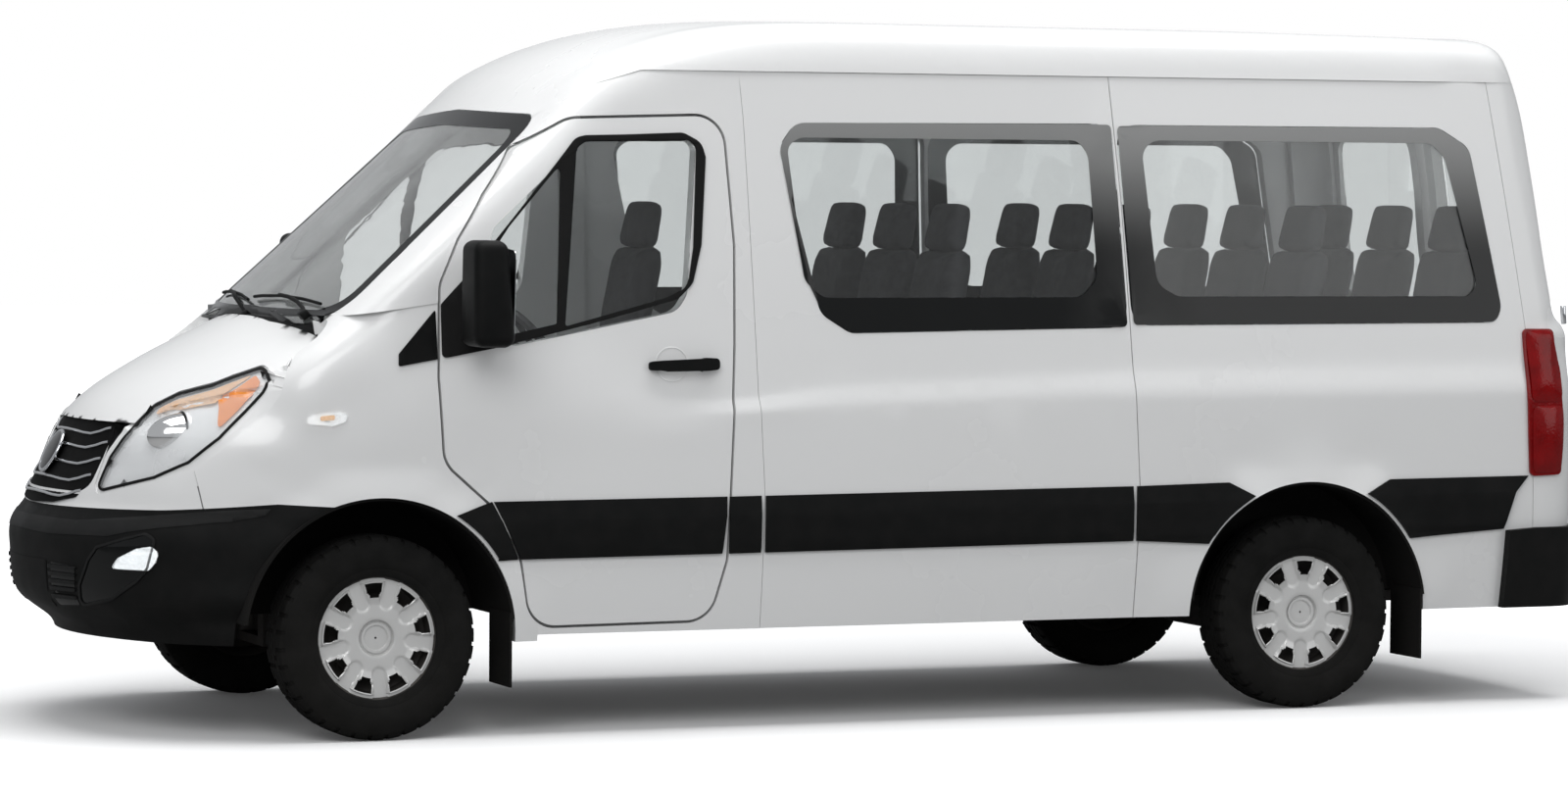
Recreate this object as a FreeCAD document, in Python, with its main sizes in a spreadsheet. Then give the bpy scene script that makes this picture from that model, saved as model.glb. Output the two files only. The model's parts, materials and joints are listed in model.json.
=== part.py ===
import FreeCAD, Part
import Sketcher
import math
import os
from types import SimpleNamespace

# A family minibus. X runs rearwards, Y to the vehicle's right and Z up.
# Sizes are in millimetres. Stations along X are counted from the front axle.
sizes = {
    "wheelbase": 3570,
    "front_overhang": 1045,
    "rear_overhang": 1230,
    "half_width": 985,
    "body_height": 2525,
    "track": 1700,
    "sill_height": 355,
    "sill_tuck": 26,
    "belt_height": 850,
    "crease_step": 20,
    "lean": 90,
    "barrel": 8,
    "nose_taper": 62,
    "tail_taper": 26,
    "roof_line": 2325,
    "roof_crown": 40,
    "screen_bulge": 116,
    "hood_sweep": 194,
    "hood_crown": 87,
    "nose_bulge": 437,
    "tail_bulge": 52,
    "roof_blend": 130,
    "screen_blend": 70,
    "tail_blend": 120,
    "nose_blend": 230,
    "hood_blend": 170,
    "arch_radius": 487,
    "arch_flare": 16,
    "flare_width": 95,
    "panel_thickness": 50,
    "door_thickness": 60,
    "pillar_thickness": 82,
    "roof_thickness": 45,
    "hood_thickness": 16,
    "bumper_thickness": 45,
    "glass_thickness": 6,
    "glass_inset": 2,
    "door_gap": 10,
    "lamp_gap": 20,
    "seam_gap": 4,
    "seam_depth": 12,
    "seat_gap": 0.3,
    "jamb_width": 24,
    "corner_radius": 60,
    "overrun": 60,
    "tyre_radius": 355,
    "tyre_width": 215,
    "tyre_shoulder": 30,
    "rim_radius": 222,
    "rim_width": 190,
    "rim_wall": 9,
    "cover_recess": 14,
    "cover_thickness": 8,
    "cover_dish": 18,
    "cap_radius": 52,
    "cap_height": 14,
    "slot_radius": 22,
    "slot_circle": 160,
    "slot_count": 9,
    "hub_radius": 75,
    "hub_length": 90,
    "knuckle_offset": 95,
    "knuckle_radius": 32,
    "knuckle_height": 220,
    "floor_height": 700,
    "floor_thickness": 40,
    "rail_side": 440,
    "rail_width": 70,
    "rail_height": 120,
    "eye_width": 90,
    "eye_drop": 115,
    "eye_thickness": 20,
    "eye_side": 300,
    "eye_bore": 18,
    "beam_width": 120,
    "beam_height": 90,
    "arm_height": 34,
    "axle_radius": 45,
    "case_radius": 120,
    "case_width": 220,
    "spring_length": 1260,
    "spring_side": 560,
    "spring_height": 40,
    "engine_length": 640,
    "engine_width": 440,
    "engine_height": 480,
    "gearbox_radius": 110,
    "gearbox_length": 620,
    "tank_side": 660,
    "tank_width": 300,
    "tank_length": 900,
    "tank_height": 230,
    "silencer_radius": 90,
    "silencer_length": 800,
    "pipe_radius": 26,
    "pipe_drop": 40,
    "housing_front": 525,
    "housing_rear": 700,
    "housing_wall": 10,
    "housing_lip": 45,
    "housing_skirt": 60,
    "flap_width": 230,
    "flap_thickness": 8,
    "flap_height": 260,
    "flap_inset": 12,
    "bulkhead_station": 120,
    "toe_length": 330,
    "toe_height": 930,
    "dash_height": 1400,
    "dash_low": 1120,
    "dash_depth": 380,
    "dash_drop": 110,
    "seat_base": 280,
    "seat_depth": 480,
    "seat_width": 440,
    "cushion_height": 130,
    "back_thickness": 110,
    "back_height": 600,
    "head_width": 260,
    "head_height": 170,
    "head_gap": 0.3,
    "leg_width": 30,
    "tray_height": 20,
    "front_seat_station": 900,
    "front_seat_side": 440,
    "row_pitch": 500,
    "steering_station": 740,
    "steering_height": 1310,
    "steering_radius": 190,
    "steering_rim": 15,
    "rear_bumper_rise": 40,
    "lamp_rise": 12,
    "split_gap": 14,
    "split_bevel": 6,
    "slat_height": 14,
    "slat_inset": 4,
    "slat_depth": 18,
    "badge_radius": 70,
    "radiator_width": 900,
    "radiator_height": 400,
    "radiator_depth": 50,
    "radiator_station": 640,
    "shaft_radius": 35,
    "shaft_height": 480,
    "cowl_height": 1235,
    "cowl_thickness": 30,
    "cowl_reach": 300,
    "hinge_width": 60,
    "mirror_station": 253,
    "mirror_depth": 150,
    "mirror_side": 1045,
    "mirror_width": 200,
    "mirror_height": 368,
    "mirror_base": 1360,
    "mirror_round": 34,
    "mirror_arm_radius": 26,
    "column_radius": 30,
    "column_length": 330,
}

doc = FreeCAD.newDocument("Minibus")
sheet = doc.addObject("Spreadsheet::Sheet", "Sizes")
for row, (alias, value) in enumerate(sizes.items(), start=1):
    sheet.set("A%d" % row, alias)
    sheet.set("B%d" % row, str(value))
    sheet.setAlias("B%d" % row, alias)
doc.recompute()
s = SimpleNamespace(**{alias: float(getattr(sheet, alias)) for alias in sizes})
V = FreeCAD.Vector
length_x = s.wheelbase
height_z = s.body_height
centre_x = (s.wheelbase + s.rear_overhang - s.front_overhang) / 2
nodes = {}


class Curve:
    """A smooth curve through points that never overshoots them."""

    def __init__(self, points):
        self.a = [p[0] for p in points]
        self.b = [p[1] for p in points]
        steps = range(len(points) - 1)
        rise = [(self.b[i + 1] - self.b[i]) / (self.a[i + 1] - self.a[i]) for i in steps]
        self.slope = [rise[0]]
        for before, after in zip(rise, rise[1:]):
            flat = before * after <= 0
            self.slope.append(0 if flat else 2 / (1 / before + 1 / after))
        self.slope.append(rise[-1])

    def __call__(self, t):
        a, b, slope = self.a, self.b, self.slope
        if t <= a[0]:
            return b[0] + slope[0] * (t - a[0])
        if t >= a[-1]:
            return b[-1] + slope[-1] * (t - a[-1])
        i = 0
        while t > a[i + 1]:
            i += 1
        span = a[i + 1] - a[i]
        u = (t - a[i]) / span
        chord = mix(b[i], b[i + 1], u * u * (3 - 2 * u))
        return chord + span * u * (1 - u) * (slope[i] * (1 - u) - slope[i + 1] * u)

    def rate(self, t):
        step = (self.a[-1] - self.a[0]) / 4000
        return (self(t + step) - self(t - step)) / (2 * step)


def mix(a, b, share):
    return a + (b - a) * share


def ease(t):
    t = min(max(t, 0), 1)
    return t * t * (3 - 2 * t)


def blend_max(a, b, radius):
    near = max(radius - abs(a - b), 0)
    return max(a, b) + near * near / (4 * radius)


def scaled(points, width, height):
    return Curve([(a * width, b * height) for a, b in points])


# Profiles of the body, as shares of the wheelbase along X and of the height along Z
cab_shares = [(-0.070, 0.5703), (0.153, 0.8515), (0.206, 0.9208), (0.249, 0.9537), (0.294, 0.9762),
              (0.342, 0.9901), (0.398, 0.998), (0.476, 1), (0.95, 0.998), (1.26, 0.991)]
hood_shares = [(-0.28, 0.404), (-0.2605, 0.4277), (-0.2353, 0.4614), (-0.161, 0.509),
               (-0.07, 0.5703), (0, 0.616), (0.112, 0.681)]
crease_low_shares = [(0.1852, 0.4246), (0.3846, 0.442), (0.628, 0.4523), (0.7969, 0.4566), (1.249, 0.4578)]
crease_high_shares = [(0.1852, 0.4313), (0.3619, 0.4655), (0.3846, 0.4739), (0.628, 0.4927),
                      (0.7969, 0.5022), (1.249, 0.5077)]
# The ends, as shares of the height and of an overhang
nose_shares = [(0.125, 0.83), (0.155, 0.885), (0.177, 0.965), (0.218, 0.992), (0.268, 1), (0.292, 0.982),
               (0.311, 0.948), (0.341, 0.931), (0.41, 0.898), (0.4305, 0.87), (0.48, 0.80)]
tail_shares = [(0.135, 0.96), (0.323, 0.979), (0.55, 0.963), (0.575, 0.93), (0.752, 0.862),
               (0.87, 0.824), (0.954, 0.785), (1, 0.765)]
smooth_band_shares = (0.36, 0.56)
crease_fade_shares = (0.16, 0.36)
nose_taper_shares = (0.085, 0.225)
tail_taper_shares = (0.7, 0.59)
cowl_shares = (-0.1, 0.08)

cab_profile = scaled(cab_shares, length_x, height_z)
hood_profile = scaled(hood_shares, length_x, height_z)
crease_low = scaled(crease_low_shares, length_x, height_z)
crease_high = scaled(crease_high_shares, length_x, height_z)
nose_profile = scaled(nose_shares, height_z, -s.front_overhang)
tail_profile = scaled(tail_shares, height_z, s.rear_overhang)


def crease_band(x):
    """The low and high edge of the step in the body side, which fades out over the front door."""
    start, full = crease_fade_shares
    share = ease((x / length_x - start) / (full - start))
    low = mix(smooth_band_shares[0] * height_z, crease_low(x), share)
    high = mix(smooth_band_shares[1] * height_z, crease_high(x), share)
    return low, high


def side_width(x, z):
    """Half the body's width at a station and a height."""
    low, high = crease_band(x)
    below = max(s.belt_height - z, 0) / (s.belt_height - s.sill_height)
    lower = s.half_width - s.sill_tuck * below * below
    above = (z - high) / (s.roof_line - high)
    upper = s.half_width - s.crease_step - s.lean * above
    upper += s.barrel * math.sin(math.pi * min(max(above, 0), 1))
    width = mix(lower, upper, ease((z - low) / (high - low)))
    ahead = max(nose_taper_shares[0] * length_x - x, 0) / (nose_taper_shares[1] * length_x)
    behind = max(x - tail_taper_shares[0] * length_x, 0) / (tail_taper_shares[1] * length_x)
    width -= s.nose_taper * ahead * ahead + s.tail_taper * behind * behind
    for axle in (0, s.wheelbase):
        reach = math.hypot(x - axle, z - s.tyre_radius)
        width += s.arch_flare * (1 - ease((reach - s.arch_radius) / s.flare_width))
    return width


def cab_gap(x, y, z):
    """How far a point lies outside the windscreen and the roof."""
    spread = (y / s.half_width) ** 2
    station = x - s.screen_bulge * spread
    slope = cab_profile.rate(station)
    return (z - cab_profile(station) + s.roof_crown * spread) / math.hypot(1, slope)


def hood_gap(x, y, z):
    spread = (y / s.half_width) ** 2
    station = x - s.hood_sweep * spread
    slope = hood_profile.rate(station)
    return (z - hood_profile(station) + s.hood_crown * spread) / math.hypot(1, slope)


def nose_gap(x, y, z):
    bulge = s.nose_bulge * (y / s.half_width) ** 2
    steer = 2 * bulge / max(abs(y), s.seat_gap)
    return (nose_profile(z) + bulge - x) / math.hypot(1, steer, nose_profile.rate(z))


def tail_gap(x, y, z):
    bulge = s.tail_bulge * (y / s.half_width) ** 2
    return (x - s.wheelbase - tail_profile(z) + bulge) / math.hypot(1, tail_profile.rate(z))


def cab_hull(x, y, z):
    side = abs(y) - side_width(x, z)
    ahead = ease(x / length_x / crease_fade_shares[1])
    body = blend_max(side, cab_gap(x, y, z), mix(s.screen_blend, s.roof_blend, ahead))
    return blend_max(body, tail_gap(x, y, z), s.tail_blend)


def nose_hull(x, y, z):
    side = abs(y) - side_width(x, z)
    body = blend_max(side, hood_gap(x, y, z), s.hood_blend)
    return blend_max(body, nose_gap(x, y, z), s.nose_blend)


def hull(x, y, z):
    if x > cowl_shares[1] * length_x:
        return cab_hull(x, y, z)
    if x < cowl_shares[0] * length_x:
        return nose_hull(x, y, z)
    return min(cab_hull(x, y, z), nose_hull(x, y, z))


def reach_skin(start, way, field=hull):
    """The distance from a point inside to the body's skin."""
    near = 0
    far = 2 * s.half_width
    while field(*(start + way * far)) < 0:
        far += s.half_width
    for _ in range(36):
        middle = (near + far) / 2
        if field(*(start + way * middle)) < 0:
            near = middle
        else:
            far = middle
    return near


def even_rays(ray_at, first, last, count):
    """Rays between two turns whose ends lie evenly spaced along the skin."""
    dense = 4 * count
    turns = [mix(first, last, i / dense) for i in range(dense + 1)]
    ends = [start + way * reach_skin(start, way) for start, way in (ray_at(turn) for turn in turns)]
    along = [0]
    for a, b in zip(ends, ends[1:]):
        along.append(along[-1] + (b - a).Length)
    found = []
    k = 0
    for i in range(count + 1):
        target = along[-1] * i / count
        while k < dense - 1 and along[k + 1] < target:
            k += 1
        share = (target - along[k]) / (along[k + 1] - along[k])
        found.append(ray_at(mix(turns[k], turns[k + 1], min(share, 1))))
    return found


def mean_spacing(rows):
    """Where the points of like rows lie on average, from 0 at the first to 1 at the last."""
    steps = [sum((row[j + 1] - row[j]).Length for row in rows) for j in range(len(rows[0]) - 1)]
    along = [0]
    for step in steps:
        along.append(along[-1] + step)
    return [value / along[-1] for value in along]


def spline(points, places):
    curve = Part.BSplineCurve()
    curve.interpolate(Points=points, Parameters=places)
    return curve


def spline_face(rows):
    """A smooth face through a grid of points."""
    across = mean_spacing(rows)
    along = mean_spacing(list(zip(*rows)))
    sections = [spline(list(row), across) for row in rows]
    columns = [spline(list(column), along) for column in zip(*[section.getPoles() for section in sections])]
    surface = Part.BSplineSurface()
    surface.buildFromPolesMultsKnots([list(row) for row in zip(*[column.getPoles() for column in columns])],
                                     columns[0].getMultiplicities(), sections[0].getMultiplicities(),
                                     columns[0].getKnots(), sections[0].getKnots(), False, False,
                                     columns[0].Degree, sections[0].Degree)
    return surface.toShape()


def border(face, first, last):
    """The edge of a grid's face that runs between two of its corners."""
    for edge in face.Edges:
        ends = [vertex.Point for vertex in edge.Vertexes]
        if min(max((ends[0] - first).Length, (ends[-1] - last).Length),
               max((ends[-1] - first).Length, (ends[0] - last).Length)) < s.seat_gap / 100:
            return edge
    raise ValueError("the grid has no such border")


def thinned(items):
    """Every second item, with the first and the last."""
    return items[:-1:2] + items[-1:]


def slab(rows, outer, inner):
    """A solid between two depths under the skin; each row holds (point, way inwards)."""
    tops = [[point + way * outer for point, way in row] for row in rows]
    if inner - outer > s.seam_depth:
        rows = [thinned(row) for row in thinned(rows)]
    bottoms = [[point + way * inner for point, way in row] for row in rows]
    top = spline_face(tops)
    bottom = spline_face(bottoms)
    faces = [top, bottom]
    for a, b in (((0, 0), (0, -1)), ((0, -1), (-1, -1)), ((-1, -1), (-1, 0)), ((-1, 0), (0, 0))):
        upper = border(top, tops[a[0]][a[1]], tops[b[0]][b[1]])
        lower = border(bottom, bottoms[a[0]][a[1]], bottoms[b[0]][b[1]])
        faces.append(Part.makeRuledSurface(upper, lower))
    shell = Part.Shell(faces)
    shell.sewShape()
    solid = Part.Solid(shell)
    if solid.Volume < 0:
        solid.reverse()
    return solid


# Grid of the body side and the roof, station by station
side_station_shares = [-0.056, -0.02, 0.02, 0.06, 0.09, 0.12, 0.15, 0.18, 0.21, 0.25, 0.3, 0.36, 0.45,
                       0.55, 0.66, 0.76, 0.82, 0.86, 0.89, 0.92, 0.96, 1, 1.04, 1.08, 1.11, 1.14, 1.18,
                       1.22, 1.26, 1.285]
low_row_shares = [0, 0.14, 0.3, 0.5, 0.68, 0.84, 0.95]
step_row_shares = [-0.04, 0.12, 0.5, 0.88, 1.06]
high_row_shares = [0.08, 0.25, 0.45, 0.65, 0.85, 1]
turn_base_share = 0.855
cab_clearance_share = 0.085
arc_steps = 11
rake_shares = (0.14, 1.04, 0.2)


def side_rows(x, full_turn):
    """Rays to the left skin at one station, from the sill up towards the roof's middle line."""
    bend = max(x, crease_fade_shares[1] * length_x)
    low = crease_low(bend)
    high = crease_high(bend)
    rake = rake_shares[0] * ease((x / length_x - rake_shares[1]) / rake_shares[2])
    top = min(turn_base_share * height_z, cab_profile(x) - cab_clearance_share * height_z)
    squeeze = min((top - s.sill_height) / (turn_base_share * height_z - s.sill_height), 1)
    heights = [mix(s.sill_height, low, share) for share in low_row_shares]
    heights += [mix(low, high, share) for share in step_row_shares]
    heights += [mix(high, turn_base_share * height_z, share) for share in high_row_shares]
    heights = [s.sill_height + (z - s.sill_height) * squeeze for z in heights]
    found = []
    for z in heights:
        found.append((V(x - rake * max(z - s.belt_height, 0), 0, z), V(0, -1, 0)))
    last = found[-1][0]

    def ray_at(turn):
        return last, V(-rake * math.sin(turn), -math.cos(turn), math.sin(turn)).normalize()

    return found + even_rays(ray_at, 0, full_turn, arc_steps)[1:]


def on_skin(rays, field=hull):
    return [[(start + way * reach_skin(start, way, field), way * -1) for start, way in row] for row in rays]


def side_grid():
    stations = [share * length_x for share in side_station_shares]
    return on_skin([side_rows(x, math.radians(62)) for x in stations])


roof_station_shares = [-0.056, 0, 0.06, 0.115, 0.155, 0.19, 0.225, 0.265, 0.31, 0.37, 0.46, 0.6, 0.8, 1,
                       1.1]
roof_pivot_share = 1.15
roof_base_share = 0.84
roof_tilts = (0, 20, 36, 48, 58, 68, 80)
roof_edge_turn = math.radians(8)
roof_steps = 8


def roof_grid():
    """Rays that cross the vehicle from side to side and fan out over the roof's rear edge."""
    stations = [(share * length_x, 0) for share in roof_station_shares]
    stations += [(roof_pivot_share * length_x, math.radians(tilt)) for tilt in roof_tilts]
    rays = []
    for x, tilt in stations:
        base = min(roof_base_share * height_z, cab_profile(x) - cab_clearance_share * height_z)

        def ray_at(turn):
            lift = math.sin(turn)
            return V(x, 0, base), V(math.sin(tilt) * lift, -math.cos(turn), math.cos(tilt) * lift)

        rays.append(even_rays(ray_at, roof_edge_turn, math.pi - roof_edge_turn, 2 * roof_steps))
    return on_skin(rays)


nose_pivot_share = 0.045
nose_height_shares = [0.132, 0.15, 0.165, 0.185, 0.215, 0.25, 0.275, 0.293, 0.311, 0.335, 0.37, 0.405]
nose_top_shares = [(0, 0.44), (26, 0.455), (37, 0.487), (46, 0.505), (55, 0.522), (62, 0.545), (70, 0.58),
                   (80, 0.62), (114, 0.635)]
nose_top = scaled(nose_top_shares, math.radians(1), 1)


def nose_grid():
    """Level rays that fan out over the nose from one door to the other."""
    rays = []
    x = nose_pivot_share * length_x
    for i in range(39):
        angle = math.radians(-114 + 6 * i)
        top = nose_top(abs(angle))
        shares = nose_height_shares + [mix(nose_height_shares[-1], top, t) for t in (0.3, 0.65, 1)]
        way = V(-math.cos(angle), -math.sin(angle), 0)
        rays.append([(V(x, 0, share * height_z), way) for share in shares])
    return on_skin(rays)


hood_pivot_shares = (0.03, 0.356)


def hood_grid():
    """Rays that fan out from under the hood over its whole dome."""
    rays = []
    start = V(hood_pivot_shares[0] * length_x, 0, hood_pivot_shares[1] * height_z)
    for i in range(25):
        angle = math.radians(-90 + 7.5 * i)
        row = []
        for rise in (5, 9, 13, 18, 24, 30, 37, 44, 51, 58, 65):
            lift = math.radians(rise)
            row.append((start, V(-math.cos(angle) * math.cos(lift), -math.sin(angle) * math.cos(lift),
                                 math.sin(lift))))
        rays.append(row)
    return on_skin(rays, nose_hull)


tail_pivot_share = 1.16
tail_height_shares = [0.1406, 0.2, 0.26, 0.33, 0.4, 0.47, 0.53, 0.548, 0.56, 0.573, 0.6, 0.66, 0.74, 0.82,
                      0.88, 0.925]


def tail_grid():
    """Level rays that fan out over the tail and round both rear corners."""
    rays = []
    x = tail_pivot_share * length_x
    for i in range(31):
        angle = math.radians(-105 + 7 * i)
        way = V(math.cos(angle), math.sin(angle), 0)
        rays.append([(V(x, 0, share * height_z), way) for share in tail_height_shares])
    return on_skin(rays)


# Outlines: closed paths in a side, front or top view, with rounded corners
def corner_path(points, radius, grow):
    """Straight and round edges along a closed outline, moved outwards by grow."""
    count = len(points)
    area = sum(points[i - 1][0] * points[i][1] - points[i][0] * points[i - 1][1] for i in range(count))
    ring = points if area > 0 else points[::-1]
    moved = []
    for i in range(count):
        before, here, after = ring[i - 1], ring[i], ring[(i + 1) % count]
        way_in = V(here[0] - before[0], here[1] - before[1], 0).normalize()
        way_out = V(after[0] - here[0], after[1] - here[1], 0).normalize()
        normal_in = V(way_in.y, -way_in.x, 0)
        normal_out = V(way_out.y, -way_out.x, 0)
        push = (normal_in + normal_out) * (grow / (1 + normal_in.dot(normal_out)))
        convex = way_in.cross(way_out).z > 0
        bend = radius if len(here) < 3 else here[2]
        moved.append((V(here[0], here[1], 0) + push, max(bend + (grow if convex else -grow), 0)))
    stops = []
    for i in range(count):
        before, (here, bend), after = moved[i - 1][0], moved[i], moved[(i + 1) % count][0]
        way_in = (here - before).normalize()
        way_out = (after - here).normalize()
        half = way_in.getAngle(way_out) / 2
        room = corner_room_share * min((here - before).Length, (after - here).Length)
        tangent = min(bend * math.tan(half), room)
        if half < smallest_turn or tangent < s.seat_gap:
            stops.append((here, None, here))
            continue
        start = here - way_in * tangent
        end = here + way_out * tangent
        arc_radius = tangent / math.tan(half)
        inward = (way_out - way_in).normalize()
        middle = here + inward * (arc_radius / math.cos(half) - arc_radius)
        stops.append((start, middle, end))
    return stops


corner_room_share = 0.48
smallest_turn = math.radians(0.5)


def outline_wire(points, radius, grow, place):
    stops = corner_path(points, radius, grow)
    edges = []
    for i, (start, middle, end) in enumerate(stops):
        if middle:
            edges.append(Part.Arc(place(start), place(middle), place(end)).toShape())
        following = stops[(i + 1) % len(stops)][0]
        if (following - end).Length > s.seat_gap / 100:
            edges.append(Part.LineSegment(place(end), place(following)).toShape())
    return Part.Wire(edges)


views = {
    "side": (lambda p, deep: V(p.x, deep, p.y), V(0, 1, 0)),
    "front": (lambda p, deep: V(deep, p.x, p.y), V(1, 0, 0)),
    "top": (lambda p, deep: V(p.x, p.y, deep), V(0, 0, 1)),
}


def prism(view, points, near, far, radius=0, grow=0):
    """A solid with a given outline in one view, from one depth to another."""
    place, way = views[view]
    wire = outline_wire(points, radius, grow, lambda p: place(p, near))
    return Part.Face(wire).extrude(way * (far - near))


def side_points(shares):
    return [(a * length_x, b * height_z) + tuple(rest) for a, b, *rest in shares]


def front_points(shares):
    return [(a * s.half_width, b * height_z) + tuple(rest) for a, b, *rest in shares]


def top_points(shares):
    return [(a * length_x, b * s.half_width) + tuple(rest) for a, b, *rest in shares]


def left_prism(shares, radius=0, grow=0):
    return prism("side", side_points(shares), -half_span, 0, radius, grow)


def through_prism(shares, radius=0, grow=0):
    return prism("side", side_points(shares), -half_span, half_span, radius, grow)


half_span = s.half_width * 1.5
grids = {"side": side_grid(), "roof": roof_grid(), "nose": nose_grid(), "hood": hood_grid(),
         "tail": tail_grid()}
slabs = {}


def skin(name, outer, inner):
    """The wall between two depths under one part of the body's skin."""
    key = (name, outer, inner)
    if key not in slabs:
        slabs[key] = slab(grids[name], outer, inner)
    return slabs[key]


def mirrored(shape):
    return shape.mirror(V(0, 0, 0), V(0, 1, 0))


def solids_of(shape):
    solids = [solid for solid in shape.Solids if solid.Volume > smallest_volume]
    return solids[0] if len(solids) == 1 else Part.Compound(solids)


smallest_volume = s.seam_depth ** 3


def feature(label, shape):
    """One piece of the body whose form is free, put in its place along the vehicle."""
    piece = doc.addObject("Part::Feature", label)
    piece.Label = label
    piece.Shape = solids_of(shape)
    piece.Placement = FreeCAD.Placement(V(-centre_x, 0, 0), FreeCAD.Rotation())
    nodes[label] = piece
    return piece


def both_sides(label, shape):
    feature(label + "_left", shape)
    feature(label + "_right", mirrored(shape))


def grooved(shape, name, outline, radius=0):
    """A fixed panel with half of the open seam along its outline."""
    ring = left_prism(outline, radius, s.seam_gap).cut(left_prism(outline, radius, -s.seam_gap / 2))
    return shape.cut(skin(name, -s.overrun, s.seam_depth).common(ring))


# Side outlines, clockwise from the upper front corner
door_shares = [(0.1985, 0.851), (0.1507, 0.8111), (0.1106, 0.7438), (0.081, 0.6832), (0.0613, 0.623),
               (0.0583, 0.495), (0.0639, 0.3802), (0.112, 0.3204), (0.1423, 0.2455), (0.1527, 0.1525),
               (0.3375, 0.1552), (0.3546, 0.2388), (0.3574, 0.3279), (0.3636, 0.5406), (0.365, 0.6772),
               (0.356, 0.8578)]
middle_line_shares = [(0.3754, 0.9208), (0.379, 0.855), (0.3891, 0.4713), (0.3947, 0.3267), (0.3924, 0.1406)]
rear_line_shares = [(0.7793, 0.9208), (0.7891, 0.7485), (0.8053, 0.3315), (0.8022, 0.1406)]
tail_line_shares = [(1.2204, 0.9208), (1.2594, 0.5549), (1.2664, 0.3275), (1.2689, 0.1406)]
pillar_shares = [(0.2745, 0.9208), (0.224, 0.899), (0.182, 0.86), (-0.034, 0.587), (-0.034, 0.5),
                 (0.04, 0.5), (0.04, 0.36), (0.08, 0.1406)]
fender_shares = [(-0.045, 0.577), (0.1, 0.606), (0.1, 0.36), (0.16, 0.28), (0.16, 0.125), (-0.12, 0.125),
                 (-0.1653, 0.317), (-0.1737, 0.378), (-0.17, 0.62)]
middle_window_shares = [(0.4154, 0.8147), (0.4342, 0.8491), (0.781, 0.8531), (0.7942, 0.5596), (0.4882, 0.5533),
                        (0.4566, 0.581)]
rear_window_shares = [(0.7854, 0.8515), (1.1616, 0.8527), (1.1969, 0.8242), (1.2308, 0.5846), (1.2227, 0.564),
                      (0.7986, 0.5624)]
door_window_shares = [(0.2028, 0.8119), (0.2129, 0.822), (0.3202, 0.8242), (0.3283, 0.8135), (0.3160, 0.6087),
                      (0.305, 0.585), (0.1132, 0.533), (0.1126, 0.6966)]
roof_line_shares = [(1.4, 0.9208), (0.2745, 0.9208), (0.224, 0.899), (0.182, 0.86), (0.1, 0.76), (0.1, 1.1),
                    (1.4, 1.1)]
window_radius_share = 0.011
door_radius_share = 0.03


def arch_hole(axle, extra=0):
    """The round wheel arch on the left side."""
    hole = Part.makeCylinder(s.arch_radius + extra, half_span, V(axle, -half_span, s.tyre_radius), V(0, 1, 0))
    return hole


def window_plug(shares, grow=0):
    return left_prism(shares, window_radius_share * length_x * 2, grow)


door_radius = door_radius_share * length_x


# Along the door frame's sloping front run the jamb is open, as the frame's inner face swings past there
swing_shares = [(0.05, 0.6), (0.05, 0.88), (0.215, 0.88), (0.215, 0.83), (0.13, 0.7), (0.1, 0.6)]


def body_side():
    """Sill, front and middle pillar and door frame in one, with a rebate that the door shuts against."""
    zone = left_prism(pillar_shares + middle_line_shares[::-1])
    wall = skin("side", 0, s.pillar_thickness).common(zone)
    rebate = skin("side", -s.overrun, s.door_thickness + s.seat_gap)
    opening = left_prism(door_shares, door_radius, s.door_gap)
    wall = wall.cut(rebate.common(opening))
    wall = wall.cut(opening.common(left_prism(swing_shares)))
    wall = wall.cut(left_prism(door_shares, door_radius, -s.jamb_width))
    for name in ("side", "nose"):
        cover = skin(name, -s.overrun, s.panel_thickness + s.seam_gap)
        wall = wall.cut(cover.common(left_prism(fender_shares)))
    wall = wall.cut(arch_hole(0, s.seam_gap))
    wall = wall.cut(screen_plug(s.seat_gap))
    return wall


def screen_plug(grow=0):
    points = front_points(screen_shares)
    return prism("front", points, -length_x / 2, length_x / 3, s.corner_radius * 1.5, grow)


screen_shares = [(-0.835, 0.59), (-0.74, 0.858), (0, 0.868), (0.74, 0.858), (0.835, 0.59), (0.7, 0.567),
                 (-0.7, 0.567)]


def side_panel():
    zone = left_prism(middle_line_shares + rear_line_shares[::-1])
    wall = skin("side", 0, s.panel_thickness).common(zone)
    wall = wall.cut(window_plug(middle_window_shares, s.seat_gap))
    return grooved(wall, "side", middle_line_shares + rear_line_shares[::-1])


def quarter_panel():
    zone_shares = rear_line_shares + tail_line_shares[::-1]
    wall = skin("side", 0, s.panel_thickness).common(left_prism(zone_shares))
    wall = wall.cut(window_plug(rear_window_shares, s.seat_gap)).cut(arch_hole(s.wheelbase))
    return grooved(wall, "side", zone_shares)


def front_door():
    door = skin("side", 0, s.door_thickness).common(left_prism(door_shares, door_radius))
    return door.cut(window_plug(door_window_shares, s.seat_gap))


def glass(shares):
    return skin("side", s.glass_inset, s.glass_inset + s.glass_thickness).common(window_plug(shares))


def roof():
    return skin("roof", 0, s.roof_thickness).common(through_prism(roof_line_shares)).cut(screen_plug(s.seat_gap))


def windscreen():
    return skin("roof", s.glass_inset, s.glass_inset + s.glass_thickness * 1.4).common(screen_plug())


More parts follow.
